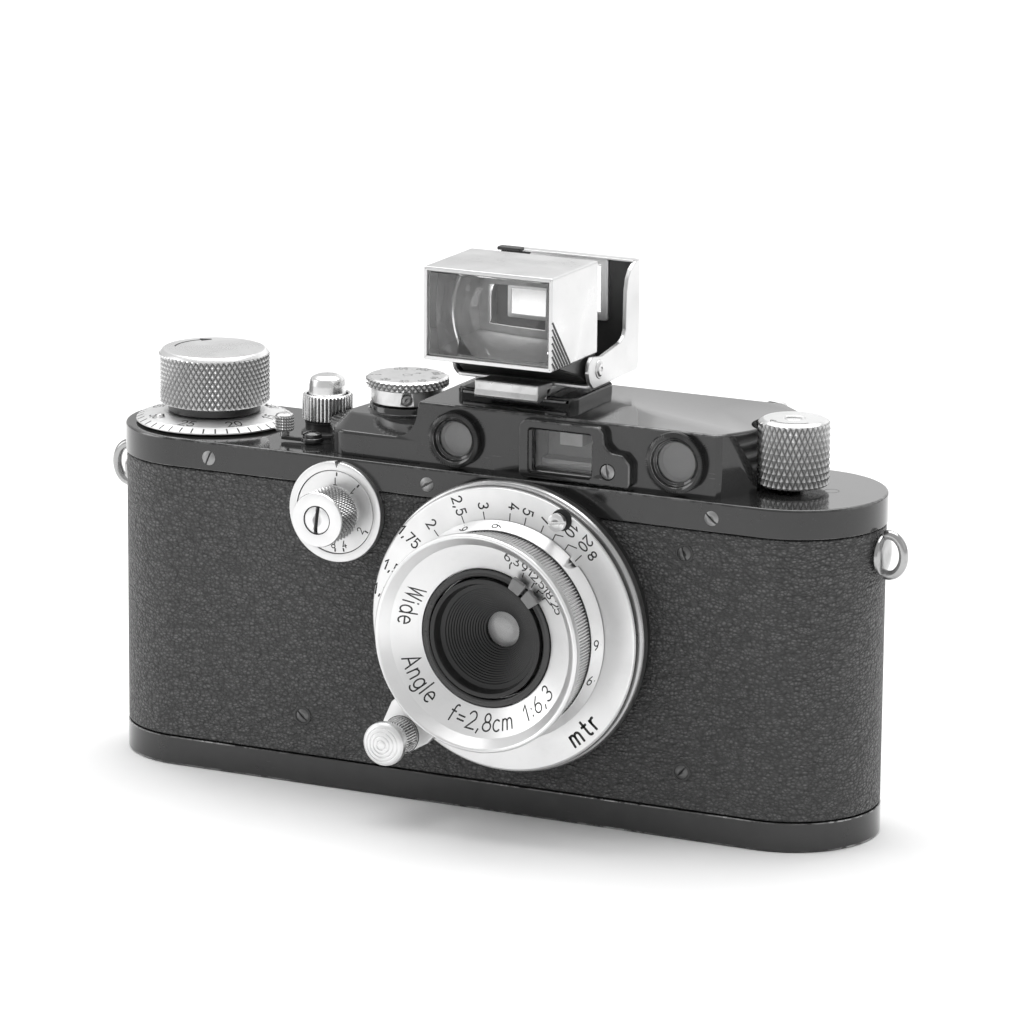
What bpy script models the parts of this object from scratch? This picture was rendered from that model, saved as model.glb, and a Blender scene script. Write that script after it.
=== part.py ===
"""Screw-mount rangefinder camera with a flat wide-angle lens and a folding accessory finder.

Metres, +Z up. The lens looks along -Y, +X is the viewer's right from the front.
The origin is the middle of the baseplate's underside.
"""
import math

import bmesh
import bpy
from mathutils import Matrix

MM = 0.001

# Driving dimensions, in millimetres.
BODY_HALF = 66.5        # half the body's length
BODY_R = 14.5           # radius of the round ends, half the body's depth
END_X = BODY_HALF - BODY_R
GAP = 0.3               # running gap between neighbouring pieces

BASE_TOP = 4.8          # upper edge of the baseplate's rim
BASE_FLOOR = 1.8
SKIRT_LOW = 50.65       # lower edge of the top plate's skirt
TOP_Z = 55.4            # upper face of the top plate
TOP_WALL = 1.1
SKIN_R = 14.4           # outside of the leather
SHELL_R = 13.3          # outside of the metal shell

HOUSE_LOW = TOP_Z + GAP
HOUSE_TOP = 65.6        # roof of the rangefinder housing
HOUSE_STEP = 59.5       # roof of its low left part
HOUSE_FRONT = -12.5
HOUSE_BACK = 13.5
HOUSE_WALL = 1.2

WIND_X = -52.0
RELEASE_X = -31.0
SPEED_X = -16.4
REWIND_X = 51.5
SLOW_X, SLOW_Z = -21.4, 46.65
LENS_X, LENS_Z = 10.87, 32.2
VF_Z = 60.2
RF_LEFT = (-1.3, 60.2)
RF_RIGHT = (37.1, 60.65)
FINDER_X = 5.7          # centre of the accessory shoe and finder
PIVOT_Y, PIVOT_Z = 0.0, 71.1

ROUND = 32              # steps of a large turned piece
SMALL = 18              # steps of a small one

FORWARD = (math.pi / 2, 0.0, 0.0)            # turns a piece's own +Z to the front (-Y)
BACKWARD = (-math.pi / 2, 0.0, 0.0)          # turns a piece's own +Z to the back (+Y)
SIDEWAYS = (math.pi / 2, 0.0, math.pi / 2)   # turns its X to +Y, its Y to +Z, its Z to +X


def clear_scene():
    for item in list(bpy.data.objects):
        bpy.data.objects.remove(item, do_unlink=True)


def collection(name):
    made = bpy.data.collections.new(name)
    bpy.context.scene.collection.children.link(made)
    return made


clear_scene()
PARTS = collection("rangefinder_camera")
CUTTERS = collection("cutters")


def material(name, colour, rough, metal, transmission=0.0):
    made = bpy.data.materials.new(name)
    made.use_nodes = True
    shader = made.node_tree.nodes["Principled BSDF"]
    shader.inputs["Base Color"].default_value = (*colour, 1.0)
    shader.inputs["Roughness"].default_value = rough
    shader.inputs["Metallic"].default_value = metal
    shader.inputs["Transmission Weight"].default_value = transmission
    return made


PAINT = material("black_paint", (0.012, 0.012, 0.012), 0.16, 0.0)
LEATHER = material("black_leather", (0.02, 0.02, 0.02), 0.5, 0.0)
CHROME = material("satin_chrome", (0.72, 0.72, 0.72), 0.28, 1.0)
STEEL = material("dark_steel", (0.32, 0.32, 0.32), 0.4, 1.0)
BLACKING = material("lens_black", (0.01, 0.01, 0.01), 0.45, 0.0)
GLASS = material("glass", (0.9, 0.92, 0.92), 0.02, 0.0, 0.9)


def add(name, mesh, at=(0, 0, 0), turn=(0, 0, 0), mat=PAINT, group=PARTS):
    obj = bpy.data.objects.new(name, mesh)
    group.objects.link(obj)
    obj.location = [value * MM for value in at]
    obj.rotation_euler = turn
    mesh.materials.clear()
    mesh.materials.append(mat)
    return obj


def smooth(mesh, angle=35):
    mesh.shade_smooth()
    mesh.set_sharp_from_angle(angle=math.radians(angle))


def turned(name, profile, at=(0, 0, 0), turn=(0, 0, 0), mat=CHROME, steps=ROUND,
           ring=False, group=PARTS):
    """A lathe piece: (radius, height) pairs down its outer side, a Screw about its own Z."""
    build = bmesh.new()
    points = [build.verts.new((r * MM, 0, z * MM)) for r, z in profile]
    for first, second in zip(points, points[1:]):
        build.edges.new((first, second))
    if ring:
        build.edges.new((points[-1], points[0]))
    mesh = bpy.data.meshes.new(name)
    build.to_mesh(mesh)
    build.free()
    obj = add(name, mesh, at, turn, mat, group)
    screw = obj.modifiers.new("turn", "SCREW")
    screw.steps = steps
    screw.render_steps = steps
    screw.use_merge_vertices = True
    screw.merge_threshold = 0.00001
    screw.use_smooth_shade = False
    return obj


def plate(name, outline, low, high, at=(0, 0, 0), turn=(0, 0, 0), mat=PAINT, group=PARTS,
          holes=()):
    """A flat piece: a closed outline in its own XY, from height low to height high."""
    curve = bpy.data.curves.new(name, "CURVE")
    curve.dimensions = "2D"
    curve.fill_mode = "BOTH"
    curve.extrude = (high - low) / 2 * MM
    for loop in (outline, *holes):
        spline = curve.splines.new("POLY")
        spline.points.add(len(loop) - 1)
        for point, (x, y) in zip(spline.points, loop):
            point.co = (x * MM, y * MM, 0, 1)
        spline.use_cyclic_u = True
    flat = bpy.data.objects.new(name + "_outline", curve)
    PARTS.objects.link(flat)
    graph = bpy.context.evaluated_depsgraph_get()
    mesh = bpy.data.meshes.new_from_object(flat.evaluated_get(graph))
    bpy.data.objects.remove(flat, do_unlink=True)
    build = bmesh.new()
    build.from_mesh(mesh)
    bmesh.ops.remove_doubles(build, verts=build.verts, dist=0.000001)
    if not holes:
        bmesh.ops.dissolve_limit(build, angle_limit=0.001, verts=build.verts, edges=build.edges)
    bmesh.ops.translate(build, verts=build.verts, vec=(0, 0, (low + high) / 2 * MM))
    build.to_mesh(mesh)
    build.free()
    mesh.name = name
    return add(name, mesh, at, turn, mat, group)


def box(name, size, at, turn=(0, 0, 0), mat=PAINT, group=PARTS):
    build = bmesh.new()
    bmesh.ops.create_cube(build, size=1.0)
    bmesh.ops.scale(build, verts=build.verts, vec=[value * MM for value in size])
    mesh = bpy.data.meshes.new(name)
    build.to_mesh(mesh)
    build.free()
    return add(name, mesh, at, turn, mat, group)


def cylinder(name, radius, low, high, at=(0, 0, 0), turn=(0, 0, 0), mat=CHROME, steps=SMALL,
             group=PARTS):
    profile = [(0, high), (radius, high), (radius, low), (0, low)]
    return turned(name, profile, at, turn, mat, steps, group=group)


# Pieces whose joins lie too close together for the exact solver.
FINE_JOINS = {"rangefinder_housing"}


def change(obj, tool, operation):
    """Cut the tool from the piece, or join it on; the tool is kept as a hidden cutter."""
    for group in list(tool.users_collection):
        group.objects.unlink(tool)
    CUTTERS.objects.link(tool)
    tool.hide_render = True
    tool.display_type = "WIRE"
    step = obj.modifiers.new(tool.name, "BOOLEAN")
    step.operation = operation
    step.solver = "MANIFOLD" if obj.name in FINE_JOINS else "EXACT"
    step.object = tool


def cut(obj, *tools):
    for tool in tools:
        change(obj, tool, "DIFFERENCE")


def join(obj, *tools):
    for tool in tools:
        change(obj, tool, "UNION")


def bevel(obj, width, segments=2, angle=40):
    step = obj.modifiers.new("edge", "BEVEL")
    step.width = width * MM
    step.segments = segments
    step.limit_method = "ANGLE"
    step.angle_limit = math.radians(angle)
    step.harden_normals = False


def polar(radius, degrees, centre=(0, 0)):
    angle = math.radians(degrees)
    return (centre[0] + radius * math.cos(angle), centre[1] + radius * math.sin(angle))


def arc(radius, start, end, steps, centre=(0, 0)):
    return [polar(radius, start + (end - start) * i / steps, centre) for i in range(steps + 1)]


def stadium(radius, steps=14):
    """The body's plan outline at a given end radius."""
    right = arc(radius, -90, 90, steps, (END_X, 0))
    left = arc(radius, 90, 270, steps, (-END_X, 0))
    return right + left


def rectangle(x0, x1, y0, y1):
    return [(x0, y0), (x1, y0), (x1, y1), (x0, y1)]


def lens_at(y=0.0):
    return (LENS_X, y, LENS_Z)


# ---------------------------------------------------------------- baseplate and its lock

baseplate = plate("baseplate", stadium(BODY_R), 0, BASE_TOP)
bevel(baseplate, 0.5, 2, 60)
cut(
    baseplate,
    plate("base_hollow", stadium(BODY_R - 0.9), BASE_FLOOR, BASE_TOP + 1, group=CUTTERS),
    cylinder("bush_hole", 6.3, -1, 3, (-END_X, 0, 0), group=CUTTERS),
    cylinder("key_recess", 8.3, -1, 1.35, (REWIND_X, 0, 0), steps=ROUND, group=CUTTERS),
    cylinder("key_hole", 3.3, 0, 3, (REWIND_X, 0, 0), group=CUTTERS),
)

turned("tripod_bush",
       [(0, 5.2), (6.0, 5.2), (6.0, 2.9), (7.4, 2.9), (7.4, 2.1), (6.0, 2.1), (6.0, 0.0),
        (4.8, 0.0), (4.8, 4.4), (0, 4.4)],
       (-END_X, 0, 0), mat=STEEL, steps=SMALL)

lock_key = turned("lock_key",
                  [(0, 3.0), (6.0, 3.0), (6.0, 2.2), (3.0, 2.2), (3.0, 1.05), (8.0, 1.05),
                   (8.0, 0.72), (0, 0.72)],
                  (REWIND_X, 0, 0), mat=CHROME, steps=SMALL)
cut(lock_key, box("cam_flat", (6, 14, 0.9), (REWIND_X + 6.4, 0, 2.65), group=CUTTERS))

plate("lock_key_bow",
      arc(7.4, 0, 180, 14) + [(-7.4, -0.3), (7.4, -0.3)],
      -0.2, 0.2, (REWIND_X, 0, 0.3), mat=CHROME,
      holes=[arc(6.2, 5, 175, 12)])

# ---------------------------------------------------------------- body shell and leather

body_shell = plate("body_shell", stadium(SHELL_R), 2.1, 53.9, mat=STEEL,
                   holes=[stadium(SHELL_R - 1.0)])
cut(
    body_shell,
    cylinder("shell_lens_hole", 20.3, 9, 18, lens_at(), FORWARD, steps=ROUND, group=CUTTERS),
    cylinder("shell_slow_hole", 3.0, 9, 18, (SLOW_X, 0, SLOW_Z), FORWARD, group=CUTTERS),
)

leather = plate("leather_cover", stadium(SKIN_R), BASE_TOP + GAP, SKIRT_LOW - GAP, mat=LEATHER,
                holes=[stadium(SKIN_R - 0.8)])
cut(
    leather,
    cylinder("leather_lens_hole", 21.8, 9, 18, lens_at(), FORWARD, steps=ROUND, group=CUTTERS),
    cylinder("leather_slow_hole", 3.0, 9, 18, (SLOW_X, 0, SLOW_Z), FORWARD, group=CUTTERS),
)

BODY_SCREWS = {
    "body_screw_lower_left": (-28.0, 11.5),
    "body_screw_lower_right": (39.5, 11.1),
    "body_screw_upper_right": (39.4, 46.6),
}
SKIRT_SCREWS = {
    "skirt_screw_left": (-45.1, 52.7),
    "skirt_screw_middle": (-5.5, 52.7),
    "skirt_screw_right": (44.0, 52.8),
}


def slotted_screw(name, at, turn, radius, dome, length, slot_angle, mat=CHROME):
    """A domed slotted screw head with a short shank behind it."""
    screw = turned(name,
                   [(0, dome), (radius * 0.6, dome * 0.8), (radius, 0.0), (radius, -0.35),
                    (radius * 0.55, -0.35), (radius * 0.55, -length), (0, -length)],
                   at, turn, mat, steps=12)
    slot = box(name + "_slot", (radius * 3, radius * 0.28, dome * 1.4), (0, 0, dome * 0.9),
               group=CUTTERS)
    spin = Matrix.Rotation(slot_angle, 4, "Z")
    slot.data.transform(Matrix.Translation((0, 0, dome * 0.9 * MM)))
    slot.data.transform(spin)
    slot.location = [value * MM for value in at]
    slot.rotation_euler = turn
    cut(screw, slot)
    return screw


for index, (name, (x, z)) in enumerate(BODY_SCREWS.items()):
    cut(leather, cylinder(name + "_hole", 1.5, 13, 16, (x, 0, z), FORWARD, steps=16,
                          group=CUTTERS))
    slotted_screw(name, (x, -14.45, z), FORWARD, 1.15, 0.3, 0.8, 1.2 + index * 0.5)

# ---------------------------------------------------------------- top plate

top_plate = plate("top_plate", stadium(14.6), SKIRT_LOW, TOP_Z)
bevel(top_plate, 0.7, 3, 60)
cut(
    top_plate,
    plate("top_hollow", stadium(13.6), SKIRT_LOW - 1, TOP_Z - TOP_WALL, group=CUTTERS),
    cylinder("skirt_notch", 21.8, 13, 18, lens_at(), FORWARD, steps=ROUND, group=CUTTERS),
    cylinder("wind_hole", 3.3, 53, 57, (WIND_X, 0, 0), group=CUTTERS),
    cylinder("release_hole", 2.0, 53, 57, (RELEASE_X, 0, 0), steps=16, group=CUTTERS),
    cylinder("speed_hole", 2.4, 53, 57, (SPEED_X, 0, 0), steps=16, group=CUTTERS),
    cylinder("rewind_hole", 2.3, 53, 57, (REWIND_X, 0, 0), steps=16, group=CUTTERS),
    plate("range_opening", rectangle(-4, 38, -7, 7), 53, 57, group=CUTTERS),
)
for index, (name, (x, z)) in enumerate(SKIRT_SCREWS.items()):
    cut(top_plate, cylinder(name + "_hole", 1.5, 13, 16, (x, 0, z), FORWARD, steps=16,
                            group=CUTTERS))
    slotted_screw(name, (x, -14.6, z), FORWARD, 1.15, 0.35, 0.85, 1.1 - index * 0.6)

# ---------------------------------------------------------------- rangefinder housing

COVE = (52.6, 6.2)      # centre of the flared cove beside the rewind knob
upper = plate("rangefinder_housing",
              [(-8.3, HOUSE_FRONT), (43.6, HOUSE_FRONT), (44.3, -11.9), (47.6, -5.4), (50.0, 0.0),
               (50.0, 8.0), (44.0, HOUSE_BACK), (-8.3, HOUSE_BACK)],
              HOUSE_LOW, HOUSE_TOP)
bevel(upper, 0.4, 2, 60)
low_part = plate("low_part",
                 [(-6, HOUSE_FRONT), (-6, 9.4), (SPEED_X, 9.4)]
                 + arc(9.6, 100, 215, 8, (SPEED_X, 0)) + [(-21.6, HOUSE_FRONT)],
                 HOUSE_LOW, HOUSE_STEP, group=CUTTERS)
bevel(low_part, 0.35, 2, 60)
boss = turned("speed_boss", [(0, 62.2), (6.1, 62.2), (6.1, 61.1), (8.4, 59.2), (0, 59.2)],
              (SPEED_X, 0, 0), group=CUTTERS, steps=32)
shoulder = plate("step_shoulder",
                 [(-7.9, 65.2), (-8.5, 62.6), (-9.5, 60.7), (-11.6, 59.2), (-11.6, 58.8),
                  (-7.9, 58.8)],
                 8.0, -HOUSE_FRONT - 0.06, (0, 0, 0), FORWARD, group=CUTTERS)
join(upper, low_part, shoulder, boss)
cut(
    upper,
    plate("upper_hollow",
          [(-7.1, -11.3), (42.6, -11.3), (42.6, -7.0), (38.2, 0.0), (38.2, 12.3), (-7.1, 12.3)],
          TOP_Z - 1, HOUSE_TOP - 1.2, group=CUTTERS),
    plate("low_hollow", rectangle(-19.6, -6.8, -11.3, -7.0), TOP_Z - 1, HOUSE_STEP - 1.1,
          group=CUTTERS),
    cylinder("speed_bore", 2.4, 50, 64, (SPEED_X, 0, 0), steps=16, group=CUTTERS),
    cylinder("knob_clearance", 6.7, 50, 70, (REWIND_X, 0, 0), steps=ROUND, group=CUTTERS),
    turned("cove_flare", [(0, 66.5), (13.2, 66.5), (12.4, 63.5), (9.4, 59.5), (7.6, 54), (0, 54)],
           (*COVE, 0), group=CUTTERS, steps=ROUND),
    cylinder("rf_left_hole", 3.3, 9, 14, (RF_LEFT[0], 0, RF_LEFT[1]), FORWARD, group=CUTTERS),
    cylinder("rf_right_hole", 3.8, 9, 14, (RF_RIGHT[0], 0, RF_RIGHT[1]), FORWARD, group=CUTTERS),
    plate("vf_hole", rectangle(12.0, 23.0, 56.6, 63.8), 9, 14, (0, 0, 0), FORWARD,
          group=CUTTERS),
    cylinder("vf_eye_hole", 2.6, -15, -11, (16.9, 0, VF_Z), FORWARD, group=CUTTERS),
    cylinder("rf_eye_hole", 2.6, -15, -11, (36.5, 0, VF_Z), FORWARD, group=CUTTERS),
)

SHOE_LOW = HOUSE_TOP + GAP
shoe = box("accessory_shoe", (21.4, 18.0, 2.1), (FINDER_X, 0.5, SHOE_LOW + 1.05), mat=PAINT)
cut(
    shoe,
    box("shoe_channel", (19.0, 20.0, 1.2), (FINDER_X, 0.5, SHOE_LOW + 1.1), group=CUTTERS),
    box("shoe_slot", (11.8, 20.0, 2.0), (FINDER_X, 0.5, SHOE_LOW + 2.0), group=CUTTERS),
)

bezel_outline = ([(10.4, 55.8), (29.7, 55.8)]
                 + arc(1.6, 0, 90, 4, (28.1, 59.4)) + [(26.6, 61.2), (25.4, 62.0), (25.1, 63.8)]
                 + arc(0.8, 0, 90, 3, (24.2, 64.3)) + [(11.2, 65.1), (10.4, 64.4)])
vf_bezel = plate("viewfinder_bezel", bezel_outline, -HOUSE_FRONT + GAP, 14.2, (0, 0, 0), FORWARD,
                 holes=[rectangle(12.4, 22.8, 56.9, 63.5)])
cut(vf_bezel, cylinder("vf_screw_hole", 1.5, 12, 16, (25.9, 0, 58.1), FORWARD, steps=16,
                       group=CUTTERS))
slotted_screw("viewfinder_screw", (25.9, -14.15, 58.1), FORWARD, 1.15, 0.25, 0.9, 1.5)
plate("viewfinder_front_glass", rectangle(12.3, 22.7, 56.9, 63.5), 11.6, 12.4, (0, 0, 0),
      FORWARD, mat=GLASS)

for side, (x, z), rim in (("left", RF_LEFT, 4.5), ("right", RF_RIGHT, 4.9)):
    turned("rangefinder_bezel_" + side,
           [(rim - 1.15, 1.7), (rim - 0.2, 1.7), (rim, 1.5), (rim, 0.3), (rim - 1.6, 0.3),
            (rim - 1.6, 0.7), (rim - 1.15, 0.9)],
           (x, HOUSE_FRONT, z), FORWARD, mat=PAINT, steps=24, ring=True)
    cylinder("rangefinder_glass_" + side, rim - 1.65, -1.0, -0.1, (x, HOUSE_FRONT, z), FORWARD,
             mat=GLASS, steps=SMALL)

turned("viewfinder_eyepiece",
       [(1.7, 1.8), (3.2, 1.8), (3.6, 1.4), (3.6, 0.3), (2.3, 0.3), (2.3, -1.0), (1.7, -1.0)],
       (16.9, HOUSE_BACK, VF_Z), BACKWARD, mat=PAINT, steps=SMALL, ring=True)
turned("rangefinder_eyepiece",
       [(1.7, 1.0), (2.2, 1.0), (2.2, -1.0), (1.7, -1.0)],
       (36.5, HOUSE_BACK, VF_Z), BACKWARD, mat=PAINT, steps=SMALL, ring=True)
plate("dioptre_lever",
      arc(3.9, 75, 375, 15) + [(7.9, 3.9), (7.3, 5.3), (5.0, 5.5)],
      -1.4, -0.3, (36.5, HOUSE_BACK, VF_Z), FORWARD,
      holes=[arc(2.5, 0, 345, 23)])

# ---------------------------------------------------------------- strap lugs

LUG_Z = 46.5
for side, sign in (("left", -1), ("right", 1)):
    washer = turned("strap_lug_" + side, [(0, 0.9), (2.9, 0.9), (3.3, 0.6), (3.3, 0.0), (0, 0.0)],
                    (sign * (SKIN_R + END_X + GAP), 0, LUG_Z), (0, sign * math.pi / 2, 0),
                    mat=CHROME, steps=SMALL)
    loop_path = [(2.4 * math.cos(math.radians(angle)), 3.2 * math.sin(math.radians(angle)))
                 for angle in range(-100, 101, 20)]
    loop_wire = bpy.data.curves.new("loop_" + side, "CURVE")
    loop_wire.dimensions = "3D"
    loop_wire.bevel_depth = 0.75 * MM
    loop_wire.bevel_resolution = 1
    loop_wire.use_fill_caps = True
    spline = loop_wire.splines.new("POLY")
    spline.points.add(len(loop_path) - 1)
    for point, (x, z) in zip(spline.points, loop_path):
        point.co = (x * MM, 0, z * MM, 1)
    wire = bpy.data.objects.new("loop_wire_" + side, loop_wire)
    CUTTERS.objects.link(wire)
    graph = bpy.context.evaluated_depsgraph_get()
    loop_mesh = bpy.data.meshes.new_from_object(wire.evaluated_get(graph))
    bpy.data.objects.remove(wire, do_unlink=True)
    weld = bmesh.new()
    weld.from_mesh(loop_mesh)
    bmesh.ops.remove_doubles(weld, verts=weld.verts, dist=0.000001)
    weld.to_mesh(loop_mesh)
    weld.free()
    loop = add("lug_loop_" + side, loop_mesh, (sign * (SKIN_R + END_X + 1.5), 0, LUG_Z),
               (0, 0, 0 if sign > 0 else math.pi), CHROME, CUTTERS)
    join(washer, loop)

# ---------------------------------------------------------------- lens flange and shutter

turned("body_lens_flange",
       [(19.5, 16.5), (21.5, 16.5), (21.5, 13.6), (19.5, 13.6)],
       lens_at(), FORWARD, mat=PAINT, steps=ROUND, ring=True)

GATE_X0, GATE_X1 = LENS_X - 18, LENS_X + 18
crate = box("shutter_crate", (60.0, 22.0, 46.0), (6.0, -0.5, 29.0), mat=STEEL)
cut(
    crate,
    box("crate_hollow", (64.0, 17.6, 40.0), (6.0, -0.2, 30.0), group=CUTTERS),
    cylinder("crate_lens_hole", 18.4, 8, 14, lens_at(), FORWARD, steps=ROUND, group=CUTTERS),
    box("film_gate", (36.0, 4.0, 24.0), (LENS_X, 10.0, LENS_Z), group=CUTTERS),
    cylinder("crate_top_bore", 2.4, 48, 55, (SPEED_X, 0, 0), steps=16, group=CUTTERS),
    cylinder("crate_slow_bore", 3.0, 8, 14, (SLOW_X, 0, SLOW_Z), FORWARD, group=CUTTERS),
)
join(
    crate,
    plate("curtain", rectangle(GATE_X0 - 3.2, GATE_X1 + 2, 9.0, 51.0), -7.6, -7.2, (0, 0, 0),
          FORWARD, group=CUTTERS),
    box("slow_speed_escapement", (11.0, 7.4, 13.0), (-17.5, -5.7, 16.0), group=CUTTERS),
)

# ---------------------------------------------------------------- winding and speed controls

turned("wind_knob",
       [(0, 67.6), (8.5, 67.6), (9.15, 66.9), (9.15, 59.2), (8.7, 58.7), (7.6, 58.7),
        (7.6, 57.3), (3.0, 57.3), (3.0, 49.4), (0, 49.4)],
       (WIND_X, 0, 0), mat=CHROME)

counter = turned("counter_dial",
                 [(3.3, 56.7), (11.2, 56.6), (12.9, 56.1), (12.9, 55.7), (3.3, 55.7)],
                 (WIND_X, 0, 0), mat=CHROME, ring=True)
for angle in (232, 52):
    x, y = polar(9.7, angle, (WIND_X, 0))
    join(counter, cylinder(f"counter_pin_{angle}", 0.5, 56.0, 57.3 if angle == 232 else 57.0,
                           (x, y, 0), steps=10, group=CUTTERS))

spool = turned("take_up_spool",
               [(0, 49.1), (7.5, 49.1), (7.5, 47.9), (5.2, 47.9), (5.2, 7.8), (7.5, 7.8),
                (7.5, 6.6), (0, 6.6)],
               (WIND_X, 0, 0), mat=STEEL, steps=SMALL)
cut(spool, box("spool_slot", (1.0, 14.0, 30.0), (WIND_X, 0, 28.0), group=CUTTERS))

sprocket = turned("sprocket_drum",
                  [(1.6, 50.8), (4.0, 50.8), (4.0, 48.8), (3.0, 48.8), (3.0, 12.0), (4.0, 12.0),
                   (4.0, 8.0), (1.6, 8.0)],
                  (RELEASE_X, 0, 0), mat=STEEL, steps=SMALL, ring=True)
for level in (49.8, 10.0):
    for step in range(6):
        x, y = polar(4.0, 60 * step, (RELEASE_X, 0))
        join(sprocket, box(f"tooth_{level:.0f}_{step}", (0.9, 0.8, 0.9), (x, y, level),
                           (0, 0, math.radians(60 * step)), group=CUTTERS))

turned("release_collar",
       [(3.4, 62.2), (3.9, 62.2), (4.1, 62.0), (4.1, 58.0), (3.7, 57.8), (3.7, 55.7),
        (2.0, 55.7), (2.0, 57.6), (3.4, 57.6)],
       (RELEASE_X, 0, 0), mat=CHROME, steps=SMALL, ring=True)
turned("release_button",
       [(0, 65.3), (1.4, 65.2), (2.5, 64.7), (3.05, 63.8), (3.1, 62.6), (3.1, 60.6), (1.3, 60.6),
        (1.3, 47.0), (0, 47.0)],
       (RELEASE_X, 0, 0), mat=CHROME, steps=SMALL)

AR_PIVOT = (-29.8, -7.6)
AR_KNOB = (-34.6, -8.1)
ar_lever = turned("ar_lever",
                  [(1.1, 0.5), (1.9, 0.5), (1.9, -0.3), (1.1, -0.3)],
                  (*AR_PIVOT, 56.0), mat=CHROME, steps=SMALL, ring=True)
reach = (AR_KNOB[0] - AR_PIVOT[0], AR_KNOB[1] - AR_PIVOT[1])
join(
    ar_lever,
    box("ar_arm", (3.4, 1.8, 0.6), (AR_PIVOT[0] + reach[0] * 0.65, AR_PIVOT[1] + reach[1] * 0.65,
                                    56.1),
        (0, 0, math.atan2(reach[1], reach[0])), group=CUTTERS),
    turned("ar_grip", [(0, 60.1), (1.4, 60.1), (1.65, 59.8), (1.65, 57.4), (0.8, 57.2),
                       (0.8, 55.9), (0, 55.9)],
           (*AR_KNOB, 0), steps=16, group=CUTTERS),
)
slotted_screw("ar_lever_screw", (*AR_PIVOT, 57.15), (0, 0, 0), 1.5, 0.3, 1.45, 0.5)

speed_dial = turned("speed_dial",
                    [(0, 66.6), (6.3, 66.6), (6.77, 66.3), (6.77, 65.2), (6.3, 64.9),
                     (5.9, 64.9), (5.9, 62.5), (2.1, 62.5), (2.1, 47.6), (1.5, 47.6),
                     (1.5, 64.4), (0, 64.4)],
                    (SPEED_X, 0, 0), mat=CHROME)
cut(speed_dial, cylinder("set_screw_hole", 0.95, 4.6, 7.0, (SPEED_X, 0, 63.6),
                         (math.pi / 2, 0, math.radians(26)), steps=12, group=CUTTERS))
slotted_screw("speed_dial_set_screw",
              (SPEED_X + 5.75 * math.sin(math.radians(26)),
               -5.75 * math.cos(math.radians(26)), 63.6),
              (math.pi / 2, 0, math.radians(26)), 0.62, 0.12, 0.7, 0.9)
turned("speed_spindle",
       [(0, 64.1), (1.2, 64.1), (1.2, 47.3), (2.1, 47.3), (2.1, 46.0), (0, 46.0)],
       (SPEED_X, 0, 0), mat=STEEL, steps=SMALL)
turned("shutter_drum",
       [(0, 45.7), (4.4, 45.7), (4.4, 25.0), (1.2, 25.0), (1.2, 11.0), (0, 11.0)],
       (SPEED_X, 0, 0), mat=STEEL, steps=SMALL)

rewind_knob = turned("rewind_knob",
                     [(0, 66.2), (1.6, 66.2), (1.6, 66.7), (5.4, 66.7), (5.75, 66.3),
                      (5.75, 56.4), (5.45, 56.1), (0, 56.1)],
                     (REWIND_X, 0, 0), mat=CHROME, steps=24)
join(rewind_knob, cylinder("rewind_shaft", 2.0, 44.0, 57.0, (REWIND_X, 0, 0), group=CUTTERS,
                           steps=16))
cut(rewind_knob, cylinder("shaft_bore", 1.2, 43.0, 54.6, (REWIND_X, 0, 0), group=CUTTERS,
                          steps=16))
fork = turned("rewind_fork",
              [(0, 53.5), (0.9, 53.5), (0.9, 43.4), (3.2, 43.4), (3.2, 41.6), (0, 41.6)],
              (REWIND_X, 0, 0), mat=STEEL, steps=16)
join(fork, box("fork_blade", (4.4, 1.0, 4.0), (REWIND_X, 0, 40.0), group=CUTTERS))

turned("slow_dial_ring",
       [(6.9, 15.9), (7.9, 15.9), (8.15, 15.7), (8.15, 14.9), (3.6, 14.9), (3.6, 15.1),
        (6.9, 15.1)],
       (SLOW_X, 0, SLOW_Z), FORWARD, mat=CHROME, ring=True)
turned("slow_speed_dial",
       [(0, 19.6), (1.5, 19.6), (1.5, 21.2), (2.5, 21.2), (2.5, 22.0), (4.3, 22.0), (4.6, 21.7),
        (4.6, 16.5), (4.2, 16.2), (4.2, 15.75), (6.6, 15.75), (6.6, 15.4), (2.7, 15.4),
        (2.7, 9.0), (0, 9.0)],
       (SLOW_X, 0, SLOW_Z), FORWARD, mat=CHROME, steps=24)
slotted_screw("slow_dial_screw", (SLOW_X, -21.65, SLOW_Z), FORWARD, 2.2, 0.2, 1.6,
              math.pi / 2)

# ---------------------------------------------------------------- lens

# Heights below are distances in front of the body's mid-plane, along the lens axis.
mount_plate = turned("lens_mount_plate",
                     [(17.4, 20.6), (22.9, 20.6), (23.45, 20.1), (23.7, 17.0), (23.5, 16.8),
                      (19.2, 16.8), (19.2, 12.0), (17.4, 12.0)],
                     lens_at(), FORWARD, mat=CHROME, steps=40, ring=True)
STOP_X, STOP_Z = polar(21.6, 61.8, (LENS_X, LENS_Z))
cut(mount_plate, cylinder("stop_hole", 1.2, 19.0, 22.0, (STOP_X, 0, STOP_Z), FORWARD, steps=16,
                          group=CUTTERS))
slotted_screw("stop_screw", (STOP_X, -22.9, STOP_Z), FORWARD, 1.45, 0.2, 3.5, 0.2)

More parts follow.
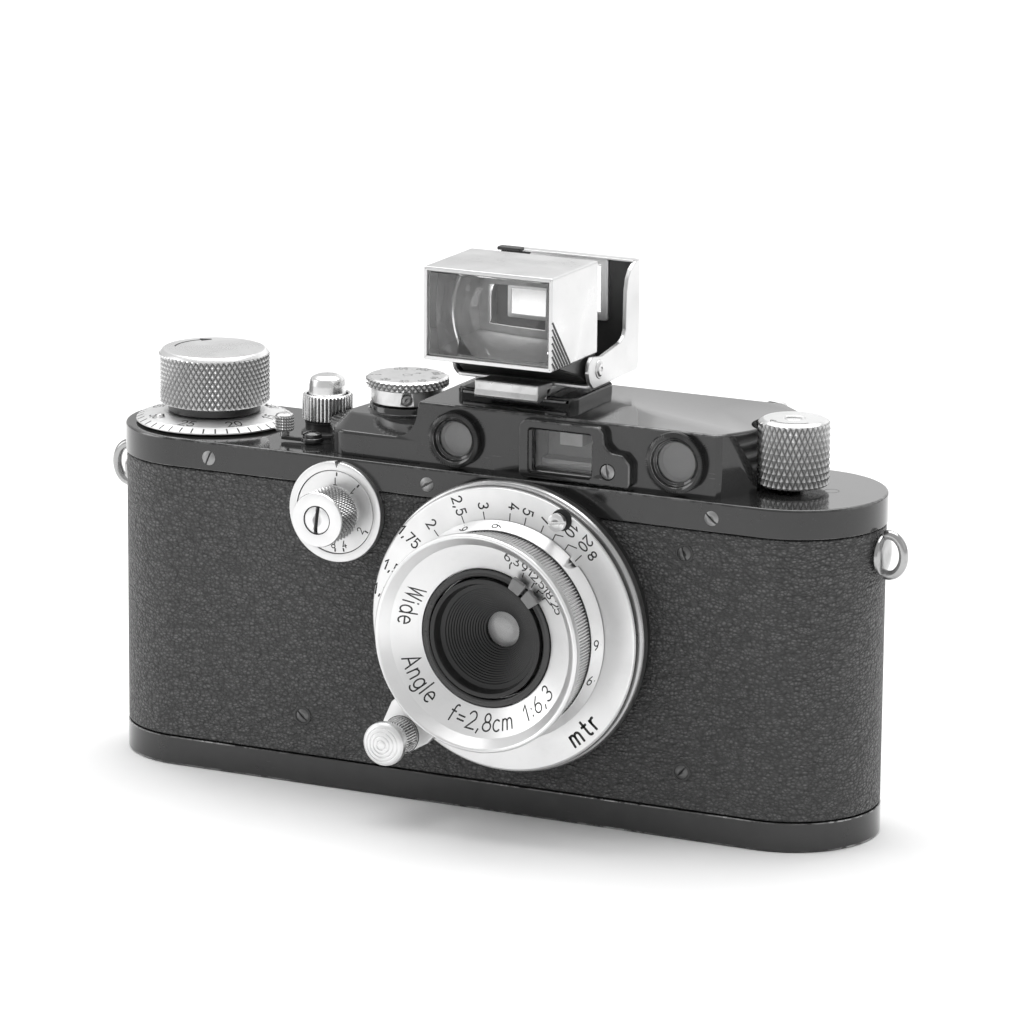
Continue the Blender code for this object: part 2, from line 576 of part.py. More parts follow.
LEVER_ANGLE = -131.6
focus_ring = turned("focus_ring",
                    [(16.6, 22.9), (17.0, 22.9), (17.9, 21.1), (17.9, 20.9), (17.1, 20.9),
                     (17.1, 12.6), (16.6, 12.6)],
                    lens_at(), FORWARD, mat=CHROME, steps=36, ring=True)
lever_outline = ([polar(16.9, -148), polar(23.2, -143.7), polar(26.4, -139.8)]
                 + [polar(28.2, -135.5), polar(28.5, -131), polar(27.4, -126)]
                 + [polar(23.2, -121.4), polar(16.9, -116)]
                 + [polar(17.0, angle) for angle in range(-122, -145, -7)])
LOCK_X, LOCK_Z = polar(25.3, LEVER_ANGLE, (LENS_X, LENS_Z))
join(
    focus_ring,
    plate("focus_lever", lever_outline, 21.0, 22.4, lens_at(), FORWARD, group=CUTTERS),
    cylinder("lock_collar", 2.9, 21.6, 24.3, (LOCK_X, 0, LOCK_Z), FORWARD, group=CUTTERS),
)
cut(focus_ring, cylinder("lock_bore", 1.5, 20.0, 25.0, (LOCK_X, 0, LOCK_Z), FORWARD, steps=16,
                         group=CUTTERS))
turned("infinity_lock_knob",
       [(0, 29.5), (2.6, 29.3), (3.4, 28.9), (3.6, 28.4), (3.6, 27.7), (2.8, 26.7), (2.7, 25.9),
        (1.2, 25.9), (1.2, 20.5), (0, 20.5)],
       (LOCK_X, 0, LOCK_Z), FORWARD, mat=CHROME, steps=SMALL)

turned("lens_barrel",
       [(16.9, 30.4), (17.3, 30.6), (17.6, 30.3), (17.6, 29.0), (16.3, 28.6), (16.3, 21.3),
        (15.2, 21.3), (15.2, 24.2), (11.2, 24.2), (11.2, 17.2), (9.9, 17.2), (9.9, 25.0),
        (11.3, 25.0), (11.3, 26.3), (15.6, 28.9)],
       lens_at(), FORWARD, mat=CHROME, steps=36, ring=True)

aperture_ring = turned("aperture_ring",
                       [(9.95, 26.6), (10.9, 26.6), (11.0, 26.5), (11.0, 25.3), (9.95, 25.3)],
                       lens_at(), FORWARD, mat=BLACKING, ring=True)
for side, start in (("low", 36.5), ("high", 51.3)):
    foot_sector = arc(10.3, start + 0.6, start + 11.8, 3) + arc(10.75, start + 11.8, start + 0.6, 3)
    top_sector = arc(10.1, start, start + 12.4, 3) + arc(12.6, start + 12.4, start, 3)
    join(
        aperture_ring,
        plate("tab_foot_" + side, foot_sector, 26.0, 27.9, lens_at(), FORWARD, group=CUTTERS),
        plate("tab_top_" + side, top_sector, 27.4, 28.7, lens_at(), FORWARD, group=CUTTERS),
    )

turned("lens_inner_cone",
       [(8.9, 26.9), (9.6, 26.9), (9.6, 17.5), (6.5, 17.0), (6.5, 13.0), (4.3, 13.0),
        (4.3, 16.2), (3.2, 16.2), (3.2, 20.6), (7.9, 25.2), (8.6, 25.2)],
       lens_at(), FORWARD, mat=BLACKING, ring=True)
turned("front_element",
       [(0, 20.3), (1.5, 20.15), (2.9, 19.7), (2.9, 18.4), (0, 18.1)],
       lens_at(), FORWARD, mat=GLASS, steps=SMALL)
turned("rear_element",
       [(0, 15.7), (2.0, 15.6), (4.0, 15.1), (4.0, 13.9), (0, 13.4)],
       lens_at(), FORWARD, mat=GLASS, steps=SMALL)

# ---------------------------------------------------------------- accessory finder

FOOT_LOW = SHOE_LOW + 0.8
foot = box("finder_foot", (18.4, 17.4, 0.6), (FINDER_X, 0.5, FOOT_LOW + 0.3), mat=CHROME)
join(foot, box("foot_neck", (11.2, 17.0, 1.2), (FINDER_X, 0.5, FOOT_LOW + 0.8), group=CUTTERS))

TRAY_LOW = FOOT_LOW + 1.7
BOX_X0, BOX_X1 = FINDER_X - 11.2, FINDER_X + 11.2
frame_x0, frame_x1 = BOX_X0 - 0.9, BOX_X1 + 0.9
rear_frame = box("finder_rear_frame", (frame_x1 - frame_x0, 17.0, 0.8),
                 (FINDER_X, 6.5, TRAY_LOW + 0.4), mat=CHROME)
cheek_outline = [(-1.2, TRAY_LOW), (14.6, TRAY_LOW), (15.0, TRAY_LOW + 0.5), (15.0, 85.6),
                 (14.4, 86.4), (13.2, 86.2), (10.6, 84.4), (9.9, 82.6), (9.7, 75.2),
                 (8.4, 73.7), (-3.0, 73.6), (-4.2, 72.3), (-4.3, 70.6), (-3.2, 69.2)]
join(
    rear_frame,
    plate("cheek_left", cheek_outline, frame_x0, frame_x0 + 0.7, (0, 0, 0), SIDEWAYS,
          group=CUTTERS),
    plate("cheek_right", cheek_outline, frame_x1 - 0.7, frame_x1, (0, 0, 0), SIDEWAYS,
          group=CUTTERS),
    plate("back_wall", rectangle(frame_x0, frame_x1, TRAY_LOW, 86.4), -15.0, -14.2, (0, 0, 0),
          FORWARD, group=CUTTERS, holes=[rectangle(FINDER_X - 5.8, FINDER_X + 5.8, 77.0, 85.0)]),
    cylinder("pivot_pin", 0.6, frame_x0 - 0.5, frame_x1 + 0.5, (0, PIVOT_Y, PIVOT_Z), SIDEWAYS,
             steps=12, group=CUTTERS),
    cylinder("rivet_right", 1.5, frame_x1 - 0.1, frame_x1 + 0.4, (0, PIVOT_Y, PIVOT_Z), SIDEWAYS,
             steps=20, group=CUTTERS),
    cylinder("rivet_left", 1.5, frame_x0 - 0.4, frame_x0 + 0.1, (0, PIVOT_Y, PIVOT_Z), SIDEWAYS,
             steps=20, group=CUTTERS),
)
box("finder_rear_lens", (11.0, 0.5, 7.4), (FINDER_X, 14.6, 81.0), mat=GLASS)

BOX_LOW, BOX_HIGH = 73.4, 88.4
front_box = box("finder_front_box", (BOX_X1 - BOX_X0, 17.0, BOX_HIGH - BOX_LOW),
                (FINDER_X, -7.5, (BOX_LOW + BOX_HIGH) / 2), mat=CHROME)
lug_outline = [(-13.5, BOX_LOW + 0.3), (-3.0, 70.3), (-0.8, 69.6), (0.8, 69.6), (1.5, 71.1),
               (1.0, BOX_LOW + 0.3)]
join(front_box, plate("hinge_block", lug_outline, BOX_X0 + 0.2, BOX_X1 - 0.2, (0, 0, 0),
                      SIDEWAYS, group=CUTTERS))
cut(
    front_box,
    box("box_hollow", (21.0, 16.2, 13.6), (FINDER_X, -8.3, 80.9), group=CUTTERS),
    box("box_rear_window", (15.0, 4.0, 10.0), (FINDER_X, 1.0, 81.2), group=CUTTERS),
    cylinder("pin_bore", 0.9, BOX_X0 - 1, BOX_X1 + 1, (0, PIVOT_Y, PIVOT_Z), SIDEWAYS, steps=12,
             group=CUTTERS),
)
plate("finder_front_lens", rectangle(FINDER_X - 10.2, FINDER_X + 10.2, 74.4, 87.4),
      14.2, 15.6, (0, 0, 0), FORWARD, mat=GLASS)

for part in PARTS.objects:
    if part.data.polygons:
        smooth(part.data)
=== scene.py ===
"""Looks of the rangefinder camera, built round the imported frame. Sizes are in millimetres."""
import math

import bmesh
import bpy
from mathutils import Matrix, Vector


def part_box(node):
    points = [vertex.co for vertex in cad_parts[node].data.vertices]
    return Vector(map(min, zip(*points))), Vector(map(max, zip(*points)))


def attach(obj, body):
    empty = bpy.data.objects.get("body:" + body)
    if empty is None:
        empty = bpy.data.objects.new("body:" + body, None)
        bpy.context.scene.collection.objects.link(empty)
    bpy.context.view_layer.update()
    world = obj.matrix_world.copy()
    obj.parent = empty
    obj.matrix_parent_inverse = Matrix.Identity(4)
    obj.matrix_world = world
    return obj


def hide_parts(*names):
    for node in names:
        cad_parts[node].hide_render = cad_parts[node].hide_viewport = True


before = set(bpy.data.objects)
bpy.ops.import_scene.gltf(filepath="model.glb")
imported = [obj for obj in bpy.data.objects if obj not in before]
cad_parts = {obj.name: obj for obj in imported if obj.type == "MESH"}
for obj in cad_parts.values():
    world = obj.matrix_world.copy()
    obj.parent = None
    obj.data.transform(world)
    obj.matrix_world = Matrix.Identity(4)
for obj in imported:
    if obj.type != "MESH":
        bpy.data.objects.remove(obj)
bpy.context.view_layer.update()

MM = 0.001
TAU = math.tau

# ---------------------------------------------------------------- places


def box_mm(node):
    low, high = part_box(node)
    return low / MM, high / MM


def middle(node):
    low, high = box_mm(node)
    return (low + high) / 2


LENS_X, LENS_Z = middle("lens_mount_plate").x, middle("lens_mount_plate").z
WIND_X = middle("wind_knob").x
RELEASE_X = middle("release_button").x
SPEED_X = middle("speed_dial").x
REWIND_X = middle("rewind_knob").x
SLOW_X, SLOW_Z = middle("slow_dial_ring").x, middle("slow_dial_ring").z
FINDER_X = middle("finder_front_box").x
BODY_HALF = box_mm("body_shell")[1].x + 1.2
BODY_R = 14.5
END_X = BODY_HALF - BODY_R
BASE_TOP = box_mm("baseplate")[1].z
SKIRT_LOW = box_mm("top_plate")[0].z
TOP_Z = box_mm("top_plate")[1].z
HOUSE_TOP = box_mm("rangefinder_housing")[1].z
HOUSE_FRONT = -12.5
HOUSE_BACK = box_mm("rangefinder_housing")[1].y
RANGE_WINDOWS = {"left": (-1.3, 60.2), "right": (37.1, 60.65)}
EYE_XS = (16.9, 36.5)
EYE_Z = 60.2
LEATHER_FACE = -14.42
SKIRT_FACE = -14.6
WIND_FACE = 67.6
REWIND_FACE = 66.7
SPEED_FACE = 66.62
MOUNT_FACE = 20.6
SLOW_TOP = 15.75
FIRST_COUNT = -87.8
LUG_Z = 46.5


def at(x=0.0, y=0.0, z=0.0):
    return Matrix.Translation((x, y, z))


def facing_front(x, z, y=0.0):
    """Local X stays, local Y goes up and local Z comes to the front."""
    return at(x, y, z) @ Matrix.Rotation(math.pi / 2, 4, "X")


def facing_back(x, z, y=0.0):
    return at(x, y, z) @ Matrix.Rotation(-math.pi / 2, 4, "X")


LENS = facing_front(LENS_X, LENS_Z)
SLOW = facing_front(SLOW_X, SLOW_Z)
SIDEWAYS = Matrix(((0, 0, 1, 0), (1, 0, 0, 0), (0, 1, 0, 0), (0, 0, 0, 1)))


def polar(radius, degrees, cx=0.0, cy=0.0):
    a = math.radians(degrees)
    return (cx + radius * math.cos(a), cy + radius * math.sin(a))


def arc(radius, start, end, steps, cx=0.0, cy=0.0):
    return [polar(radius, start + (end - start) * i / steps, cx, cy) for i in range(steps + 1)]


# ---------------------------------------------------------------- materials


class Recipe:
    """A material being built: a Principled shader and the nodes that feed it."""

    def __init__(self, name, **sockets):
        self.made = bpy.data.materials.new(name)
        self.made.use_nodes = True
        self.tree = self.made.node_tree
        self.shader = self.tree.nodes["Principled BSDF"]
        for key, value in sockets.items():
            self.shader.inputs[key.replace("_", " ")].default_value = value
        self.space = self.tree.nodes.new("ShaderNodeTexCoord").outputs["Object"]

    def node(self, kind, settings=None, **inputs):
        made = self.tree.nodes.new("ShaderNode" + kind)
        for key, value in (settings or {}).items():
            setattr(made, key, value)
        for key, value in inputs.items():
            socket = made.inputs[int(key[1:])] if key[0] == "i" and key[1:].isdigit() \
                else made.inputs[key.replace("_", " ")]
            if isinstance(value, bpy.types.NodeSocket):
                self.tree.links.new(value, socket)
            else:
                socket.default_value = value
        return made

    def stretched(self, scale, offset=(0, 0, 0)):
        return self.node("Mapping", Vector=self.space, Scale=scale,
                         Location=offset).outputs["Vector"]

    def noise(self, scale, detail=3.0, rough=0.55, vector=None, distortion=0.0):
        return self.node("TexNoise", Vector=vector or self.space, Scale=scale, Detail=detail,
            Roughness=rough, Distortion=distortion).outputs[0]

    def cells(self, scale, feature, vector, **more):
        return self.node("TexVoronoi", {"feature": feature}, Vector=vector, Scale=scale,
            Randomness=1.0, **more).outputs["Distance"]

    def ramp(self, value, *stops):
        """Map a value through (position, level) stops."""
        made = self.node("ValToRGB", Fac=value)
        band = made.color_ramp
        while len(band.elements) < len(stops):
            band.elements.new(0.5)
        for element, (place, level) in zip(band.elements, stops):
            element.position = place
            element.color = grey(level)
        return made.outputs["Color"]

    def math(self, operation, a, b=0.0, clamp=False):
        return self.node("Math", {"operation": operation, "use_clamp": clamp}, i0=a,
            i1=b).outputs[0]

    def blend(self, fac, a, b):
        made = self.node("Mix", {"data_type": "RGBA"})
        for index, value in ((0, fac), (6, a), (7, b)):
            if isinstance(value, bpy.types.NodeSocket):
                self.tree.links.new(value, made.inputs[index])
            else:
                made.inputs[index].default_value = value
        return made.outputs[2]

    def attribute(self, name):
        return self.node("Attribute", {"attribute_name": name}).outputs["Fac"]

    def to(self, socket, value):
        self.tree.links.new(value, self.shader.inputs[socket])

    def bump(self, height, strength, distance, under=None):
        made = self.node("Bump", Height=height, Strength=strength, Distance=distance)
        if under is not None:
            self.tree.links.new(under, made.inputs["Normal"])
        return made.outputs["Normal"]


def grey(level):
    return (level, level, level, 1.0)


def enamel(name, wear=1.0, base=0.02, rough=0.09):
    """Glossy black enamel over metal, rubbed through along worn edges."""
    r = Recipe(name, Specular_IOR_Level=0.5, IOR=1.5, Coat_Weight=0.35, Coat_Roughness=0.04)
    tone = r.noise(260.0, 4.0)
    smudge = r.noise(75.0, 5.0, 0.6, distortion=0.6)
    rubbed = r.math("MULTIPLY", r.attribute("edge"),
        r.ramp(r.noise(330.0, 6.0, 0.7), (0.42, 0.0), (0.58, 1.0)))
    patch = r.ramp(r.noise(45.0, 2.0, vector=r.stretched((1, 1, 1), (3, 1, 2))), (0.40, 0.0),
        (0.62, 1.0))
    rubbed = r.math("MULTIPLY", r.math("MULTIPLY", rubbed, patch), wear, clamp=True)
    hair = r.ramp(r.noise(420.0, 2.0, 0.5, vector=r.stretched((1.0, 14.0, 9.0))), (0.70, 0.0),
        (0.76, 1.0))
    scuff = r.math("MULTIPLY", hair, r.ramp(r.noise(60.0, 1.0), (0.56, 0.0), (0.66, 0.35)))
    paint = r.blend(tone, grey(base * 0.75), grey(base * 1.3))
    paint = r.blend(scuff, paint, grey(0.16))
    r.to("Base Color", r.blend(rubbed, paint, grey(0.46)))
    r.to("Metallic", rubbed)
    gloss = r.ramp(smudge, (0.3, rough * 0.7), (0.7, rough * 1.8))
    r.to("Roughness", r.blend(r.math("MAXIMUM", rubbed, scuff), gloss, grey(0.34)))
    peel = r.bump(r.noise(900.0, 2.0), 0.06, 0.00002)
    r.to("Normal", r.bump(r.noise(40.0, 1.0), 0.05, 0.0002, peel))
    return r.made


def leather():
    """Fine pebbled leather: small rounded grains, with creases that run mostly along the body."""
    r = Recipe("black_leather_grain", Specular_IOR_Level=0.5, IOR=1.5, Sheen_Weight=0.12,
        Sheen_Roughness=0.4)
    warp = r.noise(300.0, 2.0)
    bend = r.node("TexNoise", Vector=r.space, Scale=240.0, Detail=1.0).outputs[1]
    shifted = r.node("VectorMath", {"operation": "MULTIPLY_ADD"}, i0=bend, i1=(0.0010,) * 3,
        i2=r.space).outputs[0]
    flat = r.node("Mapping", Vector=shifted, Scale=(0.85, 0.85, 1.25)).outputs[0]
    grain = r.cells(1750.0, "SMOOTH_F1", flat, Smoothness=0.5)
    edges = r.cells(1750.0, "DISTANCE_TO_EDGE", flat)
    fine = r.noise(2600.0, 2.0, vector=flat)
    crease_space = r.node("Mapping", Vector=shifted, Scale=(0.45, 0.45, 1.5)).outputs[0]
    crease = r.cells(620.0, "DISTANCE_TO_EDGE", crease_space)
    crease = r.ramp(crease, (0.0, 0.25), (0.18, 1.0))
    dome = r.ramp(grain, (0.0, 1.0), (0.85, 0.0))
    rim = r.ramp(edges, (0.0, 0.3), (0.30, 1.0))
    swell = r.noise(420.0, 4.0, vector=crease_space)
    height = r.math("MULTIPLY", dome, 0.55)
    for way, layer, weight in (("ADD", rim, 0.30), ("ADD", crease, 0.45), ("SUBTRACT", fine, 0.16),
            ("ADD", swell, 1.1)):
        height = r.math(way, height, r.math("MULTIPLY", layer, weight))
    # Grain tops get a lighter colour and creases a darker one: painted highlight and painted
    # shade.
    painted_relief_shade = r.math("MULTIPLY", r.math("MULTIPLY", dome, rim), crease)
    tone = r.blend(painted_relief_shade, grey(0.026), grey(0.175))
    tone = r.blend(r.ramp(r.noise(28.0, 3.0), (0.3, 0.0), (0.75, 0.25)), tone, grey(0.058))
    r.to("Base Color", tone)
    r.to("Roughness", r.ramp(r.math("ADD", r.math("MULTIPLY", painted_relief_shade, 0.6),
        r.math("MULTIPLY", warp, 0.4)), (0.1, 0.62), (0.8, 0.36)))
    r.to("Normal", r.bump(height, 1.0, 0.00040))
    return r.made


def chrome(name, colour=0.78, rough=0.22, brush=None, centre=None, axis="Z", valley_dirt_and_shade=0.0,
        stain=0.10):
    """Nickel or chrome plate; brush says which way it was finished, valley_dirt_and_shade darkens
    the knurl valleys with dirt and painted shade.
    """
    r = Recipe(name, Metallic=1.0, Specular_IOR_Level=0.5)
    spots = r.ramp(r.noise(420.0, 5.0, 0.65), (0.52, 0.0), (0.74, 1.0))
    broad = r.ramp(r.noise(90.0, 3.0, distortion=0.4), (0.35, 0.0), (0.8, 1.0))
    tone = r.blend(broad, grey(colour), grey(colour * (1.0 - stain)))
    tone = r.blend(r.math("MULTIPLY", spots, stain * 1.6), tone, grey(colour * 0.45))
    # Knurl valleys get a darker colour and less metal: partly dirt, partly painted shade.
    if valley_dirt_and_shade:
        valley_darkening = r.math("MULTIPLY", r.attribute("valley_dirt_and_shade"), valley_dirt_and_shade)
        tone = r.blend(r.math("POWER", valley_darkening, 1.5), tone, grey(0.035))
        r.to("Metallic", r.math("SUBTRACT", 1.0, r.math("MULTIPLY", valley_darkening, 0.7), clamp=True))
    r.to("Base Color", tone)
    vector = None
    if brush == "ring":
        # Distance from the turning axis, so that the marks of the lathe run round it.
        split = r.node("SeparateXYZ", Vector=r.space)
        pair = {"Z": ("X", "Y"), "Y": ("X", "Z")}[axis]
        parts = [r.math("SUBTRACT", split.outputs[key], value * MM) for key,
            value in zip(pair, centre)]
        squares = [r.math("MULTIPLY", part, part) for part in parts]
        radius = r.math("SQRT", r.math("ADD", *squares))
        vector = r.node("CombineXYZ", X=radius, Y=0.0, Z=0.0).outputs[0]
    elif brush:
        vector = r.stretched(brush)
    if vector is None:
        marks = r.noise(1500.0, 2.0)
    else:
        marks = r.noise(5200.0 if brush == "ring" else 900.0, 3.0, 0.6, vector)
    r.to("Roughness", r.ramp(r.math("ADD", r.math("MULTIPLY", marks, 0.6),
        r.math("MULTIPLY", broad, 0.4)), (0.2, rough * 0.75), (0.8, rough * 1.5)))
    r.to("Normal", r.bump(marks, 0.10 if vector else 0.05, 0.00002))
    return r.made


def plain(name, base, rough, metal=0.0, grain=1200.0, bump=0.12, **sockets):
    """A matt or dark finish with fine grain and slow variation."""
    r = Recipe(name, Metallic=metal, **sockets)
    tone = r.noise(grain * 0.3, 4.0)
    r.to("Base Color", r.blend(tone, grey(base * 0.7), grey(base * 1.35)))
    r.to("Roughness", r.ramp(r.noise(grain * 0.15, 3.0), (0.3, rough * 0.8), (0.7, rough * 1.2)))
    r.to("Normal", r.bump(r.noise(grain, 2.0), bump, 0.00002))
    return r.made


def glass(name, tint=0.93, ior=1.5, rough=0.0):
    """Clear glass with a trace of dust and wiping marks."""
    r = Recipe(name, IOR=ior, Transmission_Weight=1.0, Specular_IOR_Level=0.5)
    dust = r.ramp(r.noise(700.0, 4.0, 0.7), (0.60, 0.0), (0.80, 1.0))
    r.to("Base Color", r.blend(dust, grey(tint), grey(tint * 0.92)))
    wipe = r.noise(160.0, 3.0, vector=r.stretched((1.0, 1.0, 5.0)))
    r.to("Roughness", r.ramp(wipe, (0.45, rough), (0.85, rough + 0.06)))
    return r.made


LENS_C = (LENS_X, LENS_Z)
PAINT = enamel("black_enamel", wear=0.35)
PAINT_BASE = enamel("black_enamel_base", wear=1.3, base=0.022)
PAINT_RIM = enamel("black_enamel_rim", wear=2.6)
LEATHER = leather()
# Knurled nickel: valleys darkened, partly dirt and partly painted shade.
KNURL = chrome("knurled_nickel", 0.86, 0.26, valley_dirt_and_shade=0.85)
SATIN = chrome("satin_nickel", 0.80, 0.30)
LUG = chrome("lug_nickel", 0.46, 0.22, stain=0.30)
DULL = chrome("dull_screw_nickel", 0.16, 0.38, stain=0.30)
POLISHED = chrome("polished_nickel", 0.78, 0.12)
FINDER = chrome("finder_nickel", 0.76, 0.32, brush=(1.0, 9.0, 9.0), stain=0.04)
LENS_FACE = chrome("lens_satin_nickel", 0.86, 0.40, "ring", LENS_C, "Y", stain=0.04)
# A darker copy of the lens nickel for the mount's rim: painted shade of dark reflections.
LENS_RIM_SHADED = chrome("lens_rim_nickel_painted_shade", 0.50, 0.30, "ring", LENS_C, "Y", stain=0.10)
# Serrated band: dark valleys give its stripes, partly dirt and partly painted shade.
LENS_EDGE = chrome("lens_serrated_nickel", 0.90, 0.34, valley_dirt_and_shade=0.68, stain=0.06)
# A darker copy of the knurled nickel for the slow dial grip: painted shade.
SLOW_KNURL_SHADED = chrome("slow_dial_knurl_painted_shade", 0.62, 0.30, valley_dirt_and_shade=0.95)
WIND_TOP = chrome("wind_knob_top", 0.93, 0.30, "ring", (WIND_X, 0.0), "Z")
DIAL_TOP = chrome("counter_dial_top", 0.86, 0.44, "ring", (WIND_X, 0.0), "Z")
SLOW_FACE = chrome("slow_dial_face", 0.82, 0.42, "ring", (SLOW_X, SLOW_Z), "Y", stain=0.06)
SPEED_TOP = chrome("speed_dial_top", 0.84, 0.30, stain=0.16)
REWIND_TOP = chrome("rewind_knob_top", 0.80, 0.30, "ring", (REWIND_X, 0.0), "Z")
STEEL = plain("dark_steel", 0.30, 0.42, 1.0, 800.0)
BRASS = plain("bush_brass", 0.42, 0.34, 1.0, 800.0)
# Black for blackened parts, and for pieces that stand in for shade.
DARK_METAL_AND_SHADE = plain("blackened_metal_and_painted_shade", 0.022, 0.40, 0.0, 900.0, Coat_Weight=0.2)
MATT = plain("lens_matt_black", 0.014, 0.42, 0.0, 1500.0)
# Black engraving paint, also used for painted shade in a hole and a slot.
INK_AND_SHADE = plain("engraving_paint_and_painted_shade", 0.014, 0.60, 0.0, 1800.0)
FADED = plain("worn_engraving", 0.16, 0.50, 0.0, 1800.0)
TAB_GREY = plain("index_tab_grey", 0.20, 0.38, 0.3, 1500.0)
WELL = plain("window_well", 0.29, 0.6, 0.0, 600.0)
MATT_EDGE = plain("lens_satin_black", 0.030, 0.30, 0.0, 1500.0, Coat_Weight=0.15)
# Light iris colour: the blades' grey raised to stand in for the front glass's reflection, a
# painted reflection.
IRIS_PAINTED_REFLECTION = plain("iris_grey_painted_reflection", 0.85, 0.5, 0.0, 900.0)
LINING = plain("finder_lining", 0.55, 0.45, 0.0, 900.0)
GRIP_DARK = plain("grip_grooves", 0.05, 0.5, 0.0, 900.0)
AGED = chrome("aged_nickel", 0.74, 0.34, stain=0.35)
VIEW_GLASS = glass("finder_glass", 0.97, 1.55)
WINDOW = glass("window_glass", 0.90)
ELEMENT = glass("lens_glass", 0.92, 1.6)

# ---------------------------------------------------------------- mesh builders


def piece(name, points, faces, place, mat, body, sharp=32.0, values=None, weighted=True,
        node=None):
    """Make a closed mesh from local millimetres, shade it, and let it ride on a body."""
    mesh = bpy.data.meshes.new(name)
    mesh.from_pydata([place @ Vector(p) * MM for p in points], [], faces)
    for key, numbers in (values or {}).items():
        if any(numbers):
            layer = mesh.attributes.new(key, "FLOAT", "POINT")
            layer.data.foreach_set("value", numbers)
    tidy = bmesh.new()
    tidy.from_mesh(mesh)
    bmesh.ops.recalc_face_normals(tidy, faces=tidy.faces)
    tidy.to_mesh(mesh)
    tidy.free()
    return mounted(name, mesh, mat, body, sharp, weighted, node)


def mounted(name, mesh, mat, body, sharp=32.0, weighted=True, node=None):
    """Put a mesh in the scene on a body; node is the CAD node that it stands for."""
    mesh.materials.clear()
    mesh.materials.append(mat)
    if len(mesh.polygons):
        mesh.shade_smooth()
        mesh.set_sharp_from_angle(angle=math.radians(sharp))
    obj = bpy.data.objects.new(name, mesh)
    bpy.context.scene.collection.objects.link(obj)
    if weighted:
        weigh_normals(obj)
    if body:
        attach(obj, body)
    if node:
        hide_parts(node)
    return obj


def weigh_normals(obj):
    weigh = obj.modifiers.new("shading", "WEIGHTED_NORMAL")
    weigh.keep_sharp = True
    weigh.weight = 80


def rounded(profile, radius=0.12, ring=False, steps=3):
    """Soften the corners of a (radius, height) profile; a corner may carry its own radius."""
    out = []
    count = len(profile)
    for i, corner in enumerate(profile):
        here = Vector(corner[:2])
        own = corner[2] if len(corner) > 2 else radius
        if not ring and i in (0, count - 1) or own <= 0:
            out.append((*here, 0.0))
            continue
        before, after = (Vector(profile[(i + d) % count][:2]) for d in (-1, 1))
        a, b = before - here, after - here
        angle = a.angle(b, math.pi)
        if angle > math.radians(174):
            out.append((*here, 0.0))
            continue
        cut = min(own / math.tan(angle / 2), a.length * 0.45, b.length * 0.45)
        start, end = here + a.normalized() * cut, here + b.normalized() * cut
        for k in range(steps + 1):
            t = k / steps
            spot = start * (1 - t) ** 2 + here * 2 * t * (1 - t) + end * t * t
            out.append((*spot, 1.0 if 0 < k < steps else 0.0))
    return out


def turned(name, profile, place, mat, body="camera_body", steps=96, soft=0.12, ring=False,
        sharp=32.0, node=None):
    """A lathe piece. A profile entry is (radius, height[, corner radius]) or a knurl's rows."""
    plain_run, rows = [], []

    def flush(closing=False):
        if plain_run:
            shape = rounded(plain_run, soft, ring and closing)
            rows.extend((r, h, 0.0, "", edge) for r, h, edge in shape)
            plain_run.clear()

    knurls = any(isinstance(entry, list) for entry in profile)
    for entry in profile:
        if isinstance(entry, list):
            flush()
            rows.extend(entry)
        else:
            plain_run.append(entry)
    flush(not knurls)
    points, valley_dirt_and_shade, edges, faces, first = [], [], [], [], []
    for r, h, depth, pattern, edge in rows:
        first.append(len(points))
        if r < 1e-6:
            points.append((0, 0, h))
            valley_dirt_and_shade.append(0.0)
            edges.append(0.0)
            continue
        for j in range(steps):
            a = TAU * j / steps
            up = knurl_level(pattern, j)
            radius = r - depth * (1.0 - up)
            points.append((radius * math.cos(a), radius * math.sin(a), h))
            # Knurl valleys are marked for darkening: partly dirt, partly painted shade.
            valley_dirt_and_shade.append(1.0 - up if depth else 0.0)
            edges.append(edge)
    count = len(rows)
    for k in range(count if ring else count - 1):
        m = (k + 1) % count
        a_one, b_one = rows[k][0] < 1e-6, rows[m][0] < 1e-6
        for j in range(steps):
            n = (j + 1) % steps
            a0, a1 = first[k] + j, first[k] + n
            b0, b1 = first[m] + j, first[m] + n
            if a_one and b_one:
                break
            if a_one:
                faces.append((first[k], b0, b1))
            elif b_one:
                faces.append((a0, a1, first[m]))
            elif rows[k][2] and rows[m][2] and rows[k][3][0] == "d" and rows[m][3][0] == "d":
                if knurl_level(rows[k][3], j) > 0.5:
                    faces.extend(((a0, a1, b0), (a1, b1, b0)))
                else:
                    faces.extend(((a0, a1, b1), (a0, b1, b0)))
            else:
                faces.append((a0, a1, b1, b0))
    return piece(name, points, faces, place, mat, body, sharp, {"valley_dirt_and_shade": valley_dirt_and_shade, "edge": edges},
        node=node)


def knurl_level(pattern, j):
    """How far a point of a knurl stands up, 0 to 1. The letter is the pattern, then the row."""
    if not pattern:
        return 1.0
    row = int(pattern[1:])
    if pattern[0] == "d":
        return float((j + row) % 2 == 0)
    if pattern[0] == "r":
        return float(j % 4 in (1, 2))
    if pattern[0] == "g":
        return float(j % 2 == 1 and row % 2 == 1)
    return 1.0


def diamonds(radius, depth, high, low, half_rows):
    return [(radius, high + (low - high) * k / half_rows, depth, f"d{k}", 0.0)
        for k in range(half_rows + 1)]


def ribs(radius, depth, high, low):
    return [(radius, high, depth, "r0", 0.0), (radius, low, depth, "r0", 0.0)]


def pips(radius, depth, high, low, rows):
    return [(radius, high + (low - high) * k / (2 * rows), depth, f"g{k}", 0.0)
        for k in range(2 * rows + 1)]


def signed_area(outline):
    return sum(a[0] * b[1] - b[0] * a[1] for a, b in zip(outline, outline[1:] + outline[:1])) / 2


